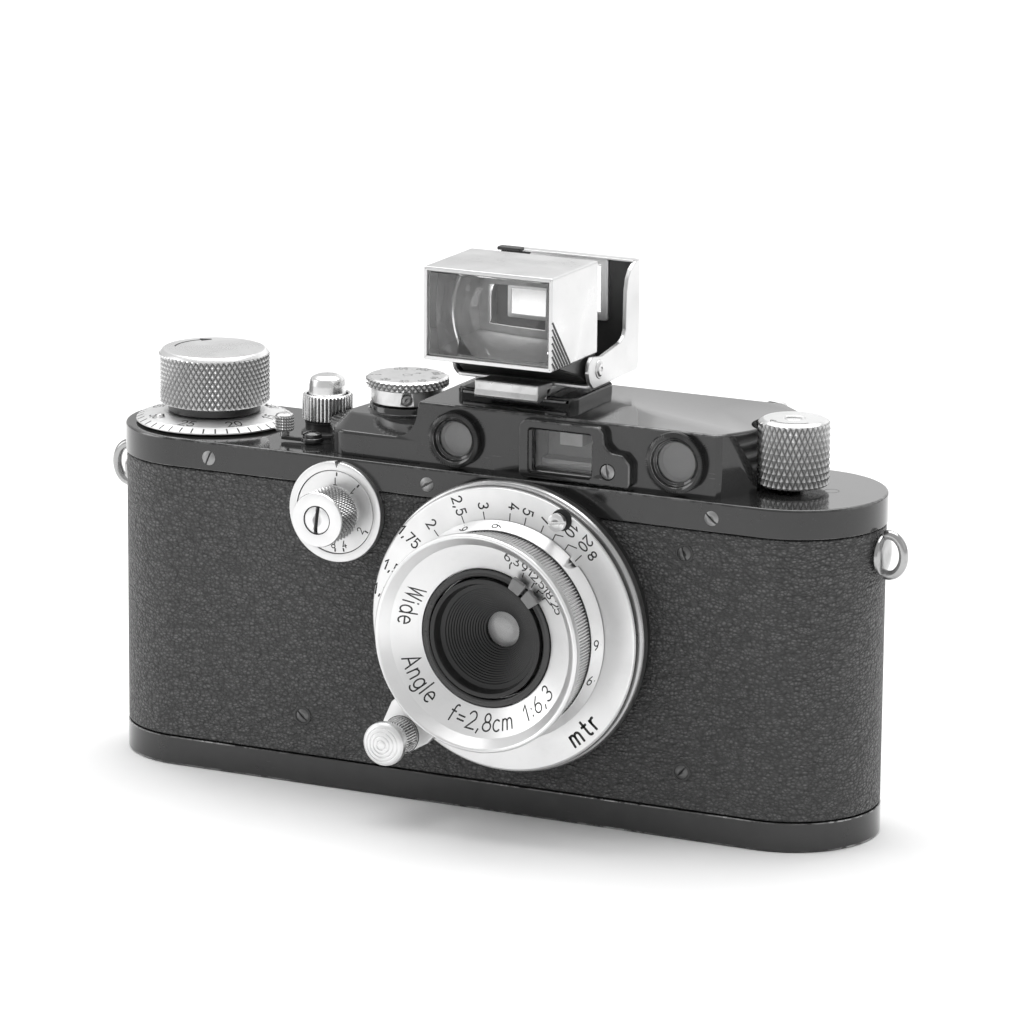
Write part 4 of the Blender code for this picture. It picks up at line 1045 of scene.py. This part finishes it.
turned("release_sleeve", [(3.7, 57.9, 0.05), (3.4, 57.9, 0.05), (3.4, 62.1, 0.1),
    (3.65, 62.28, 0.1), (3.9, 62.1, 0.08)] + [ribs(4.12, 0.3, 61.9, 58.1)], at(RELEASE_X), KNURL,
    steps=160, ring=True, soft=0.05, node="release_collar")
turned("release_flange", [(2.0, 57.7), (3.75, 57.7), (3.6, 57.2), (3.6, 56.3), (4.2, 55.9),
    (4.3, 55.4), (2.0, 55.4)], at(RELEASE_X), DARK_METAL_AND_SHADE, steps=72, ring=True)
turned("release_button_dome", [(0, 65.35, 0), (1.7, 65.25, 0.9), (2.75, 64.75, 0.7),
    (3.0, 63.6, 0.4), (3.05, 62.7, 0.2), (3.05, 60.7, 0.1), (0, 60.7)], at(RELEASE_X), SATIN,
    "release_button", steps=72, node="release_button")

# The advance and rewind lever, from its pivot to its grip.
AR = (-29.8, -7.6)
GRIP = (-34.6, -8.1)
reach = math.atan2(GRIP[1] - AR[1], GRIP[0] - AR[0])
slab("ar_lever_arm", [polar(1.85, 32 + 296 * i / 30) for i in range(31)] + [(4.4, -0.75),
    (5.2, -0.55), (5.45, 0.0), (5.2, 0.55), (4.4, 0.75)], [(0, 55.75, 0.05), (0, 56.45, 0.18)],
    at(*AR) @ Matrix.Rotation(reach, 4, "Z"), PAINT_BASE, "ar_lever", node="ar_lever")
turned("ar_lever_grip", [(0, 60.12, 0), (1.0, 60.05, 0.2), (1.38, 59.85, 0.1)]
    + [pips(1.66, 0.20, 59.65, 57.35, 5)] + [(1.38, 57.2, 0.05), (0.8, 57.1, 0.05), (0.75, 56.2),
    (0, 56.2)], at(*GRIP), KNURL, "ar_lever", steps=44, sharp=28)
screw("ar_lever_pivot", at(*AR, 57.0), 1.55, 0.4, 0.95, "camera_body", "ar_lever_screw",
    PAINT_BASE, 0.9)

turned("speed_dial_disc", [(0, SPEED_FACE, 0), (6.25, SPEED_FACE - 0.03, 0.2), (6.52, 66.42, 0.05)]
    + [diamonds(6.82, 0.34, 66.34, 65.2, 2)]
    + [(6.45, 65.05, 0.05), (5.95, 64.85, 0.05), (0, 64.85)], at(SPEED_X), KNURL, "speed_dial",
    steps=84, sharp=28, node="speed_dial")
turned("speed_dial_cap", [(0, SPEED_FACE + 0.03, 0), (6.15, SPEED_FACE + 0.01, 0.1),
    (6.3, 66.45, 0.1), (0, 66.4)], at(SPEED_X), SPEED_TOP, "speed_dial", steps=96)
neck = turned("speed_dial_neck", [(0, 65.0), (5.9, 65.0, 0), (5.9, 62.5, 0.15), (0, 62.5)],
    at(SPEED_X), SATIN, "speed_dial", steps=96)
SET = Matrix.Rotation(math.radians(26), 4, "Z")
set_spot = at(SPEED_X) @ SET @ facing_front(0, 63.6, -5.85)
cut(neck, drill(0.95, 1, -0.8, set_spot, 40))
screw("speed_set_screw_head", set_spot @ at(0, 0, -0.12), 0.82, 0.08, 0.9, "speed_dial",
    "speed_dial_set_screw", STEEL, 0.4)
figures = []
for text, angle in (("20", 250), ("30", 290), ("40", 325), ("60", 0), ("100", 40), ("200", 85),
        ("500", 130), ("1", 205)):
    figures += on_circle(text, 1.05, 4.75, angle, "in", 0.16)
    figures.append(ray(angle, 5.55, 6.0))
figures += [curve(0, 0, 0.75, 0.75, 0, 359, 20), ray(60, 0.0, 2.6),
    [polar(2.6, 60), polar(2.0, 72)], [polar(2.6, 60), polar(2.0, 48)]]
engrave("speed_figures", figures, flat_at(SPEED_FACE + 0.02), 0.12, FADED, at(SPEED_X),
    "speed_dial")

# ---------------------------------------------------------------- rewind knob

turned("rewind_knob_grip", [(0, 66.65, 0), (5.0, 66.65, 0.2), (5.42, 66.35, 0.05)]
    + [diamonds(5.75, 0.42, 66.15, 56.5, 9)] + [(5.4, 56.2, 0.05), (5.0, 56.1, 0.05), (0, 56.1)],
    at(REWIND_X), KNURL, "rewind_knob", steps=74, sharp=28, node="rewind_knob")
turned("rewind_knob_cap", [(0, 66.72, 0), (1.5, 66.72, 0.05), (1.6, 66.62, 0.05),
    (1.75, 66.72, 0.05), (4.9, 66.7, 0.12), (5.15, 66.5, 0.1), (5.15, 66.3), (0, 66.3)],
    at(REWIND_X), REWIND_TOP, "rewind_knob", steps=96)
turned("rewind_slot_disc", [(0, 66.76, 0), (1.42, 66.76, 0.05), (1.42, 66.4, 0), (0, 66.4, 0)],
    at(REWIND_X), SATIN, "rewind_knob", steps=48)
engrave("rewind_slot", [[(-1.1, -0.3), (1.1, 0.3)]], flat_at(66.77), 0.3, INK_AND_SHADE, at(REWIND_X),
    "rewind_knob")
engrave("rewind_arrow", [arc(4.0, 325.7, 232, 26)] + [[polar(4.0, 226.7), polar(4.5, 237)],
    [polar(4.0, 226.7), polar(3.5, 238)]], flat_at(REWIND_FACE + 0.01), 0.16, INK_AND_SHADE, at(REWIND_X),
    "rewind_knob")
engrave("rewind_index", [curve(57.6, 1.1, 1.2, 1.2, 0, 359, 26)], flat_at(TOP_Z), 0.12, FADED,
    at())

# ---------------------------------------------------------------- slow speed dial

# A dark seat under the dial ring, seen in the notch and round the ring: painted shade.
turned("slow_dial_seat_painted_shade", [(0, 14.2), (8.3, 14.2), (8.3, 14.6), (0, 14.6)], SLOW, DARK_METAL_AND_SHADE, steps=96)
ring_profile = [(6.9, 14.3, 0.05), (8.27, 14.3, 0.1), (8.27, 15.9, 0.25), (6.9, 15.9, 0.06)]
slow_ring = turned("slow_dial_outer_ring", ring_profile, SLOW, SLOW_FACE, steps=144, ring=True,
    node="slow_dial_ring")
# The notch goes right through, so the dark seat shows in it as painted shade.
notch = [polar(7.3, 87.5), polar(8.7, 83.6), polar(8.7, 91.4)]
cut(slow_ring, slab("tool", notch, [(0, 14.0), (0, 17)], SLOW, STEEL, None, soft=0))
turned("slow_dial_gap", [(6.5, 14.4), (7.0, 14.4), (7.0, 14.9), (6.5, 14.9)], SLOW, MATT, steps=96,
    ring=True, soft=0.02)
turned("slow_dial_disc", [(0, SLOW_TOP), (6.8, SLOW_TOP, 0.1), (6.8, 14.5, 0.05), (0, 14.5)], SLOW,
    SLOW_FACE, "slow_speed_dial", steps=120)
# The grip uses the darker copy of the knurled nickel: painted shade.
turned("slow_dial_grip", [(0, 21.2, 0), (2.4, 21.2, 0), (2.4, 21.9, 0), (4.1, 21.9, 0.1),
    (4.3, 21.7, 0.05)] + [diamonds(4.5, 0.3, 21.55, 16.4, 10)]
    + [(4.2, 16.3, 0.05), (4.2, 15.6, 0), (0, 15.6, 0)], SLOW, SLOW_KNURL_SHADED, "slow_speed_dial",
    steps=80, sharp=28, node="slow_speed_dial")
turned("slow_dial_cap", [(2.36, 21.8, 0), (4.2, 21.8, 0.05), (4.5, 21.75, 0.05),
    (4.35, 22.08, 0.1), (2.36, 22.1, 0.05)], SLOW, LENS_FACE, "slow_speed_dial", steps=96,
    ring=True)
screw("slow_dial_screw_head", SLOW @ at(0, 0, 21.98), 2.24, 0.14, math.radians(84),
    "slow_speed_dial", "slow_dial_screw", LENS_FACE, 0.75)
# A black floor in the screw's slot: painted shade.
slab("slow_dial_screw_slot_painted_shade", rectangle(-2.15, 2.15, -0.27, 0.27), [(0, 21.3), (0, 21.5)], SLOW
    @ Matrix.Rotation(math.radians(84), 4, "Z"), INK_AND_SHADE, "slow_speed_dial", soft=0)
engrave("slow_dial_screw_line", [curve(0, 0, 2.3, 2.3, 0, 359, 40)], flat_at(22.09), 0.1, INK_AND_SHADE,
    SLOW, "slow_speed_dial")
strokes = [ray(angle, 6.05, 6.5) for angle in (87.3, 48.7, 335, 284.3, 270.3, 244)]
figures = []
for text, radius, angle in (("T", 5.05, 90), ("1", 5.0, 49), ("2", 5.25, 331), ("4", 5.45, 288),
        ("8", 5.4, 267), ("20", 5.4, 243)):
    figures += on_circle(text, 1.15, radius, angle, "in", 0.14)
engrave("slow_dial_marks", strokes, flat_at(SLOW_TOP), 0.26, INK_AND_SHADE, SLOW, "slow_speed_dial")
engrave("slow_dial_figures", figures, flat_at(SLOW_TOP), 0.17, INK_AND_SHADE, SLOW, "slow_speed_dial")

# ---------------------------------------------------------------- lens

turned("lens_mount_body", [(17.4, 12.0, 0.05), (17.4, MOUNT_FACE, 0.08), (22.75, MOUNT_FACE, 0.1),
    (22.95, 20.42, 0.1), (22.95, 17.1, 0.05), (19.2, 17.0, 0.05), (19.2, 12.0, 0.05)], LENS,
    LENS_FACE, steps=192, ring=True, node="lens_mount_plate")
# The rim uses the darker copy of the lens nickel: painted shade.
turned("lens_mount_rim", [(22.7, 17.2, 0), (22.7, 20.25, 0), (23.1, 20.28, 0.12),
    (23.18, 18.95, 0.1), (23.5, 18.8, 0.15), (23.7, 18.4, 0.15), (23.7, 17.05, 0.12),
    (23.45, 16.8, 0.05), (19.6, 16.8, 0.05), (19.6, 17.2, 0)], LENS, LENS_RIM_SHADED, steps=192,
    ring=True)
turned("lens_mount_step", [(19.0, 14.0), (22.9, 14.0), (22.9, 16.9), (19.0, 16.9)], LENS, DARK_METAL_AND_SHADE,
    steps=128, ring=True, soft=0.05)
marks, figures = [], []
for angle in (68.2, 77.8, 86.2, 100.3, 112.2, 129.0, 143.0, 159.0, 170.0, 182.3):
    marks.append(ray(angle, 17.95, 19.1))
marks += [[polar(17.93, 60.9), polar(18.93, 61.1), polar(19.49, 57.4)],
    [polar(18.0, 52.9), polar(19.01, 53.1), polar(19.62, 49.0)], ray(45.1, 17.95, 19.4)]
for text, radius, angle in (("10", 21.3, 55.9), ("20", 21.3, 47.5), ("@", 20.85, 41.7),
        ("3", 20.1, 99.8), ("2,5", 20.8, 111.7), ("4", 20.3, 84.6), ("5", 20.1, 77.4),
        ("7", 20.1, 68.0), ("2", 20.2, 128.4), ("1,75", 21.2, 141.2), ("1,5", 21.2, 158.0),
        ("1,25", 21.2, 169.6), ("1", 20.4, 182.3)):
    figures += on_circle(text, 1.7, radius, angle, "cw", 0.16)
engrave("distance_marks", marks, flat_at(MOUNT_FACE), 0.17, INK_AND_SHADE, LENS)
engrave("distance_figures", figures, flat_at(MOUNT_FACE), 0.25, INK_AND_SHADE, LENS)
engrave("distance_unit", on_circle("mtr", 2.8, 20.45, 314.5, "in", 0.22, True),
    flat_at(MOUNT_FACE), 0.42, INK_AND_SHADE, LENS)

x, y = polar(21.6, 61.8)
turned("stop_screw_shank", [(0, 22.4, 0), (0.8, 22.4, 0), (0.8, 20.3, 0), (0, 20.3, 0)], LENS
    @ at(x, y), STEEL, steps=32)
screw("stop_screw_head", LENS @ at(x, y, 22.75), 1.45, 0.25, 0.12, "camera_body", "stop_screw",
    SATIN, 0.75)
# A dark ring round the shank: painted shade of the hole.
turned("stop_screw_hole_painted_shade", [(0.8, 20.62, 0), (1.75, 20.62, 0.02), (1.75, 20.4, 0), (0.8, 20.4, 0)],
    LENS @ at(x, y), INK_AND_SHADE, steps=48, ring=True)

FOCUS_CONE = [(17.85, 21.05), (16.78, 22.88)]
focus = turned("focus_ring_body", [(16.6, 12.6, 0.05), (16.6, 22.9, 0.05), (16.75, 22.92, 0.05),
    (17.9, 21.0, 0.06), (17.88, 20.85, 0.03), (17.1, 20.8, 0.05), (17.1, 12.6, 0.05)], LENS,
    LENS_FACE, "focus_ring", steps=192, ring=True, node="focus_ring")
x, y = polar(17.95, 45.3)
notch = slab("tool", arc(0.95, 0, 345, 23), [(0, 19.0), (0, 24)], LENS @ at(x, y), STEEL, None,
    soft=0)
cut(focus, notch)
tongue = [polar(16.8, -146.5), polar(23.2, -143.7), polar(26.4, -139.8), polar(28.1, -135.5),
    polar(28.4, -131), polar(27.4, -126), polar(23.2, -121.4), polar(16.8, -118)]
tongue += arc(16.8, -120, -144, 8)
slab("focus_lever_tongue", soft_outline(tongue, 0.8), [(0, 21.0, 0.1), (0, 22.4, 0.3)], LENS,
    LENS_FACE, "focus_ring")
strokes = []
for text, angle in (("6", 91), ("6", 0), ("9", -20), ("9", 111)):
    strokes += on_circle(text, 1.5, 17.05, angle, "cw")
    strokes.append(ray(angle, 17.95, 18.35))
engrave("depth_figures", strokes, cone_at(FOCUS_CONE, 17.32), 0.2, INK_AND_SHADE, LENS, "focus_ring")

turned("lens_serrated_band", [ribs(16.5, 0.4, 28.5, 22.98)] + [(15.9, 23.0, 0), (15.2, 23.0, 0),
    (15.2, 28.6, 0), (15.9, 28.6, 0)], LENS, LENS_EDGE, "lens_head", steps=800, ring=True,
    sharp=40)
turned("lens_barrel_body", [(16.2, 28.55, 0.05), (17.25, 28.75, 0.15), (17.62, 29.1, 0.15),
    (17.62, 30.25, 0.2), (17.3, 30.6, 0.15), (16.95, 30.4, 0.12), (15.6, 28.9, 0.25),
    (11.3, 26.3, 0.04), (11.3, 25.0, 0.03), (9.9, 25.0, 0.03), (9.9, 17.2, 0.05),
    (11.2, 17.2, 0.05), (11.2, 24.2, 0.05), (15.2, 24.2, 0.05), (15.2, 21.3, 0.05),
    (16.1, 21.3, 0.05)], LENS, LENS_FACE, "lens_head", steps=192, ring=True, node="lens_barrel")
DISH = [(11.3, 26.3), (15.6, 28.9)]
strokes = []
for text, radius, angle in (("6,3", 15.0, 68.7), ("9", 14.9, 59.4), ("12,5", 14.9, 49.5),
        ("18", 15.0, 38.6), ("25", 15.0, 28.1)):
    strokes += on_circle(text, 1.7, radius, angle, "out", 0.06)
strokes += [ray(69.7, 12.8, 13.7), ray(58.7, 12.8, 13.7), ray(49.1, 12.4, 13.7),
    [polar(12.56, 43.7), polar(13.3, 43.9), polar(13.55, 40.6), polar(13.8, 40.2)],
    [polar(12.6, 37.3), polar(13.6, 37.1), polar(13.85, 31.5), polar(14.0, 31.2)]]
engrave("aperture_figures", strokes, cone_at(DISH), 0.23, INK_AND_SHADE, LENS, "lens_head")
strokes = []
for text, angle in (("Wide", 162), ("Angle", 215), ("f=2,8cm", 270), ("1:6,3", 316.5)):
    strokes += on_circle(text, 2.45, 13.35, angle, "in", 0.12, True)
engrave("lens_lettering", strokes, cone_at(DISH), 0.24, INK_AND_SHADE, LENS, "lens_head")

turned("aperture_ring_body", [(9.95, 25.3, 0.03), (9.95, 26.45, 0.08), (10.25, 26.65, 0.08),
    (10.6, 26.5, 0.05), (11.05, 26.5, 0.12), (11.15, 26.2, 0.05), (11.1, 25.3, 0.05)], LENS,
    MATT_EDGE, "aperture_ring", steps=160, ring=True, node="aperture_ring")
for side, start in (("low", 36.5), ("high", 51.3)):
    block = arc(12.25, start, start + 12.2, 2) + arc(10.2, start + 12.2, start, 2)
    slab(f"aperture_tab_{side}", soft_outline(block, 0.25), [(0, 27.3, 0.1), (0, 28.3, 0.22)],
        LENS, TAB_GREY, "aperture_ring")
    stem = arc(10.75, start + 0.6, start + 11.8, 6) + arc(10.3, start + 11.8, start + 0.6, 6)
    slab(f"aperture_stem_{side}", stem, [(0, 26.0), (0, 27.6)], LENS, MATT_EDGE, "aperture_ring",
        soft=0.04)

# The front cone is cut in fine steps so that it throws no light back.
STEPS = 15
THROAT, MOUTH = (2.95, 20.25), (7.7, 25.05)
funnel = [(8.9, 26.9, 0.08), (9.6, 26.9, 0.08), (9.6, 17.5, 0), (6.5, 17.0, 0), (6.5, 13.0, 0),
    (4.3, 13.0, 0), (4.3, 16.2, 0), (3.2, 16.2, 0), (2.95, 20.2, 0)]
for k in range(STEPS):
    r0, r1 = (THROAT[0] + (MOUTH[0] - THROAT[0]) * step / STEPS for step in (k, k + 1))
    h = THROAT[1] + (MOUTH[1] - THROAT[1]) * k / STEPS
    funnel += [(r0, h + 0.16, 0.03), (r1 - 0.06, h + 0.22, 0.02)]
funnel += [(7.75, 25.2, 0.05), (8.5, 25.3, 0.1), (8.75, 26.5, 0.1)]
turned("lens_front_funnel", funnel, LENS, MATT, "lens_head", steps=128, ring=True,
    node="lens_inner_cone")
turned("lens_front_glass", [(0, 20.35, 0), (1.0, 20.30, 0), (2.0, 20.12, 0), (2.9, 19.8, 0.05),
    (2.9, 18.6, 0.05), (2.0, 18.35, 0), (0, 18.2, 0)], LENS, ELEMENT, "lens_head", steps=64,
    node="front_element")
# The iris is coloured light to give a painted reflection in the front glass.
turned("iris_blades", [(0, 18.0, 0), (1.2, 17.98, 0), (2.9, 17.9, 0), (3.0, 17.6, 0),
    (0, 17.6, 0)], LENS, IRIS_PAINTED_REFLECTION, "lens_head", steps=64)

x, y = polar(25.3, -131.6)
lock = LENS @ at(x, y)
ridges = [(0, 29.62, 0), (0.35, 29.6, 0.1)]
for radius in (0.75, 1.4, 2.05, 2.7):
    top = 29.6 - 0.075 * radius ** 1.5
    ridges += [(radius - 0.12, top, 0.06), (radius + 0.02, top - 0.16, 0.05),
        (radius + 0.16, top - 0.02, 0.06)]
ridges += [(3.2, 29.08, 0.12), (3.55, 28.75, 0.15), (3.6, 27.9, 0.15), (3.2, 27.55, 0.1),
    (2.75, 27.45, 0.05)]
turned("infinity_lock_button", ridges + [(2.05, 27.4, 0.02), (2.05, 25.9, 0.03), (1.2, 25.9, 0),
    (1.2, 20.6, 0), (0, 20.6, 0)], lock, LENS_FACE, "infinity_lock_knob", steps=96,
    node="infinity_lock_knob")
turned("infinity_lock_collar", [(2.2, 25.7, 0.03), (2.7, 25.75, 0.05)]
    + [ribs(2.92, 0.28, 25.55, 22.5)] + [(2.3, 22.4, 0)], lock, KNURL, "focus_ring", steps=160,
    ring=True)
turned("infinity_lock_seat", [(3.0, 22.3, 0), (3.0, 22.44, 0.02), (3.12, 22.44, 0.02),
    (3.12, 22.3, 0)], lock, INK_AND_SHADE, "focus_ring", steps=64, ring=True)

# ---------------------------------------------------------------- shoe and accessory finder

SHOE_LOW = HOUSE_TOP + 0.3
shoe = slab("shoe_block", rectangle(FINDER_X - 10.6, FINDER_X + 10.6, -5.8, 9.4, 1.6),
    [(0, SHOE_LOW - 0.35, 0.05), (0, SHOE_LOW + 1.25, 0.45)], at(), PAINT, node="accessory_shoe")
cut(shoe, slab_tool(rectangle(FINDER_X - 9.4, FINDER_X + 9.4, -12, 12), SHOE_LOW + 0.35, SHOE_LOW
    + 0.9), slab_tool(rectangle(FINDER_X - 5.85, FINDER_X + 5.85, -12, 12), SHOE_LOW + 0.3,
    SHOE_LOW + 4))

FOOT_LOW = SHOE_LOW + 0.8
TRAY_LOW = FOOT_LOW + 1.6
PIVOT = (0.0, 71.1)
slab("finder_foot_plate", rectangle(FINDER_X - 9.1, FINDER_X + 9.1, -6.4, 9.2, 0.4),
    [(0, FOOT_LOW - 0.38, 0.1), (0, FOOT_LOW + 0.02, 0.1)], at(), STEEL, "finder",
    node="finder_foot")
slab("finder_foot_neck", rectangle(FINDER_X - 5.6, FINDER_X + 5.6, -6.0, 9.0, 0.3),
    [(0, FOOT_LOW - 0.2, 0), (0, TRAY_LOW + 0.1, 0.25)], at(), AGED, "finder")
front_fold = [(-9.1, 67.9), (-9.15, 69.2), (-8.9, 69.5), (-3.6, 69.0), (-3.6, 68.3), (-5.0, 67.2),
    (-8.6, 66.35), (-9.2, 66.55), (-9.35, 67.1)]
slab("finder_foot_fold", soft_outline(front_fold, 0.4),
    [(0, FINDER_X - 5.6, 0.3), (0, FINDER_X + 5.6, 0.3)], SIDEWAYS, AGED, "finder")

X0, X1 = FINDER_X - 12.1, FINDER_X + 12.1
WALL = 0.7
cheek = [(-2.2, TRAY_LOW), (14.4, TRAY_LOW), (15.0, TRAY_LOW + 1.2), (15.0, 86.2), (14.6, 86.4),
    (13.4, 86.2), (11.6, 85.2), (10.6, 83.9), (10.1, 82.0), (9.9, 75.6), (9.3, 74.6), (7.8, 73.9),
    (1.0, 73.0), (-2.8, 73.5), (-3.9, 72.7), (-4.3, 71.2), (-3.6, 69.5)]
cheek = soft_outline(cheek, 1.0, 4)
for side, low in (("left", X0), ("right", X1 - WALL)):
    slab(f"finder_cheek_{side}", cheek, [(0, low, 0.16), (0, low + WALL, 0.16)], SIDEWAYS, FINDER,
        "finder", node="finder_rear_frame" if side == "right" else None)
slab("finder_tray", rectangle(X0 + 0.3, X1 - 0.3, -3.2, 14.9, 1.0),
    [(0, TRAY_LOW, 0.2), (0, TRAY_LOW + 0.6, 0.2)], at(), FINDER, "finder")
slab("finder_tray_underside", rectangle(X0 + 0.5, X1 - 0.5, -2.8, 14.6, 0.6),
    [(0, TRAY_LOW - 0.06, 0.02), (0, TRAY_LOW + 0.1, 0)], at(), DARK_METAL_AND_SHADE, "finder")
slab("finder_tray_lining", rectangle(X0 + 0.75, X1 - 0.75, -2.6, 14.1, 0.2),
    [(0, TRAY_LOW + 0.5, 0), (0, TRAY_LOW + 0.68, 0.05)], at(), DARK_METAL_AND_SHADE, "finder")
wall_line = rectangle(X0 + 0.3, X1 - 0.3, TRAY_LOW + 0.1, 86.1, 0.4)
window = rectangle(FINDER_X - 5.8, FINDER_X + 5.8, 77.0, 85.0, 0.2)
for name, low, high, mat in (("finder_back_wall", -15.0, -14.45, FINDER),
        ("finder_back_lining", -14.5, -14.2, DARK_METAL_AND_SHADE)):
    wall = slab(name, wall_line, [(0, low, 0.12), (0, high, 0.05)], FRONT, mat, "finder")
    cut(wall, slab_tool(window, -16, -13, FRONT))
border = slab("finder_window_frame", rectangle(FINDER_X - 7.0, FINDER_X + 7.0, 75.8, 85.95, 0.4),
    [(0, -14.35, 0), (0, -13.8, 0.12)], FRONT, FINDER, "finder")
cut(border, slab_tool(window, -16, -13, FRONT))
slab("finder_top_flange", rectangle(X0 + 0.5, X1 - 0.4, 13.0, 15.0, 0.3),
    [(0, 86.05, 0.1), (0, 86.4, 0.12)], at(), FINDER, "finder")
slab("finder_top_catch", rectangle(X0 + 0.2, X0 + 4.4, 11.6, 13.4, 0.3),
    [(0, 86.2, 0.1), (0, 86.75, 0.2)], at(), DARK_METAL_AND_SHADE, "finder")
for side, sign, face in (("left", -1, X0), ("right", 1, X1)):
    spot = SIDEWAYS @ at(PIVOT[0], PIVOT[1], face)
    if sign < 0:
        spot = spot @ Matrix.Rotation(math.pi, 4, "X")
    turned(f"finder_rivet_{side}", [(0, 0.22, 0), (0.32, 0.22, 0.1), (0.42, 0.34, 0.08),
        (0.95, 0.36, 0.12), (1.12, 0.22, 0.08), (1.2, 0.12, 0.05), (1.5, 0.12, 0.06),
        (1.62, -0.1, 0), (0, -0.1, 0)], spot, SATIN, "finder", steps=56)
turned("finder_hinge_pin", [(0, X0 + 0.2, 0), (0.6, X0 + 0.2, 0), (0.6, X1 - 0.2, 0),
    (0, X1 - 0.2, 0)], SIDEWAYS @ at(*PIVOT), STEEL, "finder", steps=32)

BX0, BX1, BZ0, BZ1 = FINDER_X - 11.34, FINDER_X + 11.2, 73.4, 88.4
slab("finder_box_shell", rectangle(BX0, BX1, BZ0, BZ1, 0.35, 4), [(0, -1.0, 0.3), (0, 15.9, 0.16),
    (0.62, 15.95, 0.12), (0.7, -1.0, 0)], FRONT, FINDER, "finder_box", ring=True,
    node="finder_front_box")
slab("finder_box_lining", rectangle(BX0 + 0.66, BX1 - 0.66, BZ0 + 0.66, BZ1 - 0.66, 0.2),
    [(0, -0.9, 0), (0, 15.2, 0), (0.22, 15.2, 0.05), (0.22, -0.9, 0)], FRONT, LINING, "finder_box",
    ring=True)
rear = slab("finder_box_back", rectangle(BX0 + 0.3, BX1 - 0.3, BZ0 + 0.3, BZ1 - 0.3, 0.2),
    [(0, -0.9, 0.12), (0, 0.0, 0.05)], FRONT, LINING, "finder_box")
cut(rear, slab_tool(rectangle(FINDER_X - 7.5, FINDER_X + 7.5, 76.2, 86.2, 0.3), -3, 3, FRONT))


def hollow_lens(name, x0, x1, z0, z1, front, thin, curve_radius, place, mat, body, node, across=30,
        down=20):
    """A flat front with a hollow back, as in a reversed viewfinder."""
    points, faces = [], []
    cx, cz = (x0 + x1) / 2, (z0 + z1) / 2
    for layer in (0, 1):
        for j in range(down + 1):
            for i in range(across + 1):
                x, z = x0 + (x1 - x0) * i / across, z0 + (z1 - z0) * j / down
                sag = curve_radius - math.sqrt(curve_radius ** 2 - (x - cx) ** 2 - (z - cz) ** 2)
                points.append((x, z, front - layer * (thin + sag)))
    row, size = across + 1, (across + 1) * (down + 1)
    for j in range(down):
        for i in range(across):
            a = j * row + i
            faces += [(a, a + 1, a + row + 1, a + row),
                tuple(size + k for k in (a, a + row, a + row + 1, a + 1))]
    border = [i for i in range(across)] + [j * row + across for j in range(down)] \
        + [down * row + i for i in range(across, 0, -1)] + [j * row for j in range(down, 0, -1)]
    for a, b in zip(border, border[1:] + border[:1]):
        faces.append((a, a + size, b + size, b))
    piece(name, points, faces, place, mat, body, 40.0, weighted=False, node=node)


hollow_lens("finder_front_glass", FINDER_X - 10.38, FINDER_X + 10.24, BZ0 + 0.95, BZ1 - 0.95, 15.6,
    0.7, 17.5, FRONT, VIEW_GLASS, "finder_box", "finder_front_lens")
wedge = [(-14.0, BZ0 + 0.1), (-4.2, 70.4), (-2.9, 69.5), (-2.4, 69.0), (0.8, 69.0), (1.5, 71.1),
    (1.0, BZ0 + 0.1)]
slab("finder_hinge_wedge", soft_outline(wedge, 0.4), [(0, BX0 + 0.3, 0.3), (0, BX1 - 0.3, 0.3)],
    SIDEWAYS, DARK_METAL_AND_SHADE, "finder_box")
# Grip lines filed across the lower front corner of the box.
for k in range(7):
    t = k / 7
    y0, z0 = -15.85, 81.4 - 7.6 * t
    y1, z1 = -9.3 - 6.3 * t, 73.75
    way = Vector((y1 - y0, z1 - z0)).normalized() * 0.17
    side = (-way.y, way.x)
    line = [(y0 + side[0], z0 + side[1]), (y0 - side[0], z0 - side[1]),
        (y1 - side[0], z1 - side[1]), (y1 + side[0], z1 + side[1])]
    slab(f"finder_grip_line_{k}", line, [(0, BX1 - 0.1, 0), (0.02, BX1 + 0.1, 0)], SIDEWAYS,
        GRIP_DARK, "finder_box")

# ---------------------------------------------------------------- pieces carried over

CARRIED = {"body_shell": DARK_METAL_AND_SHADE, "shutter_crate": STEEL, "take_up_spool": DARK_METAL_AND_SHADE,
    "sprocket_drum": SATIN, "shutter_drum": DARK_METAL_AND_SHADE, "speed_spindle": STEEL, "rewind_fork": SATIN,
    "tripod_bush": BRASS, "lock_key": SATIN, "lock_key_bow": SATIN, "body_lens_flange": POLISHED,
    "rear_element": ELEMENT, "finder_rear_lens": WINDOW,}
for node_name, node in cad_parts.items():
    if not node.hide_render:
        look = CARRIED.get(node_name, STEEL)
        node.data.materials.clear()
        node.data.materials.append(look)
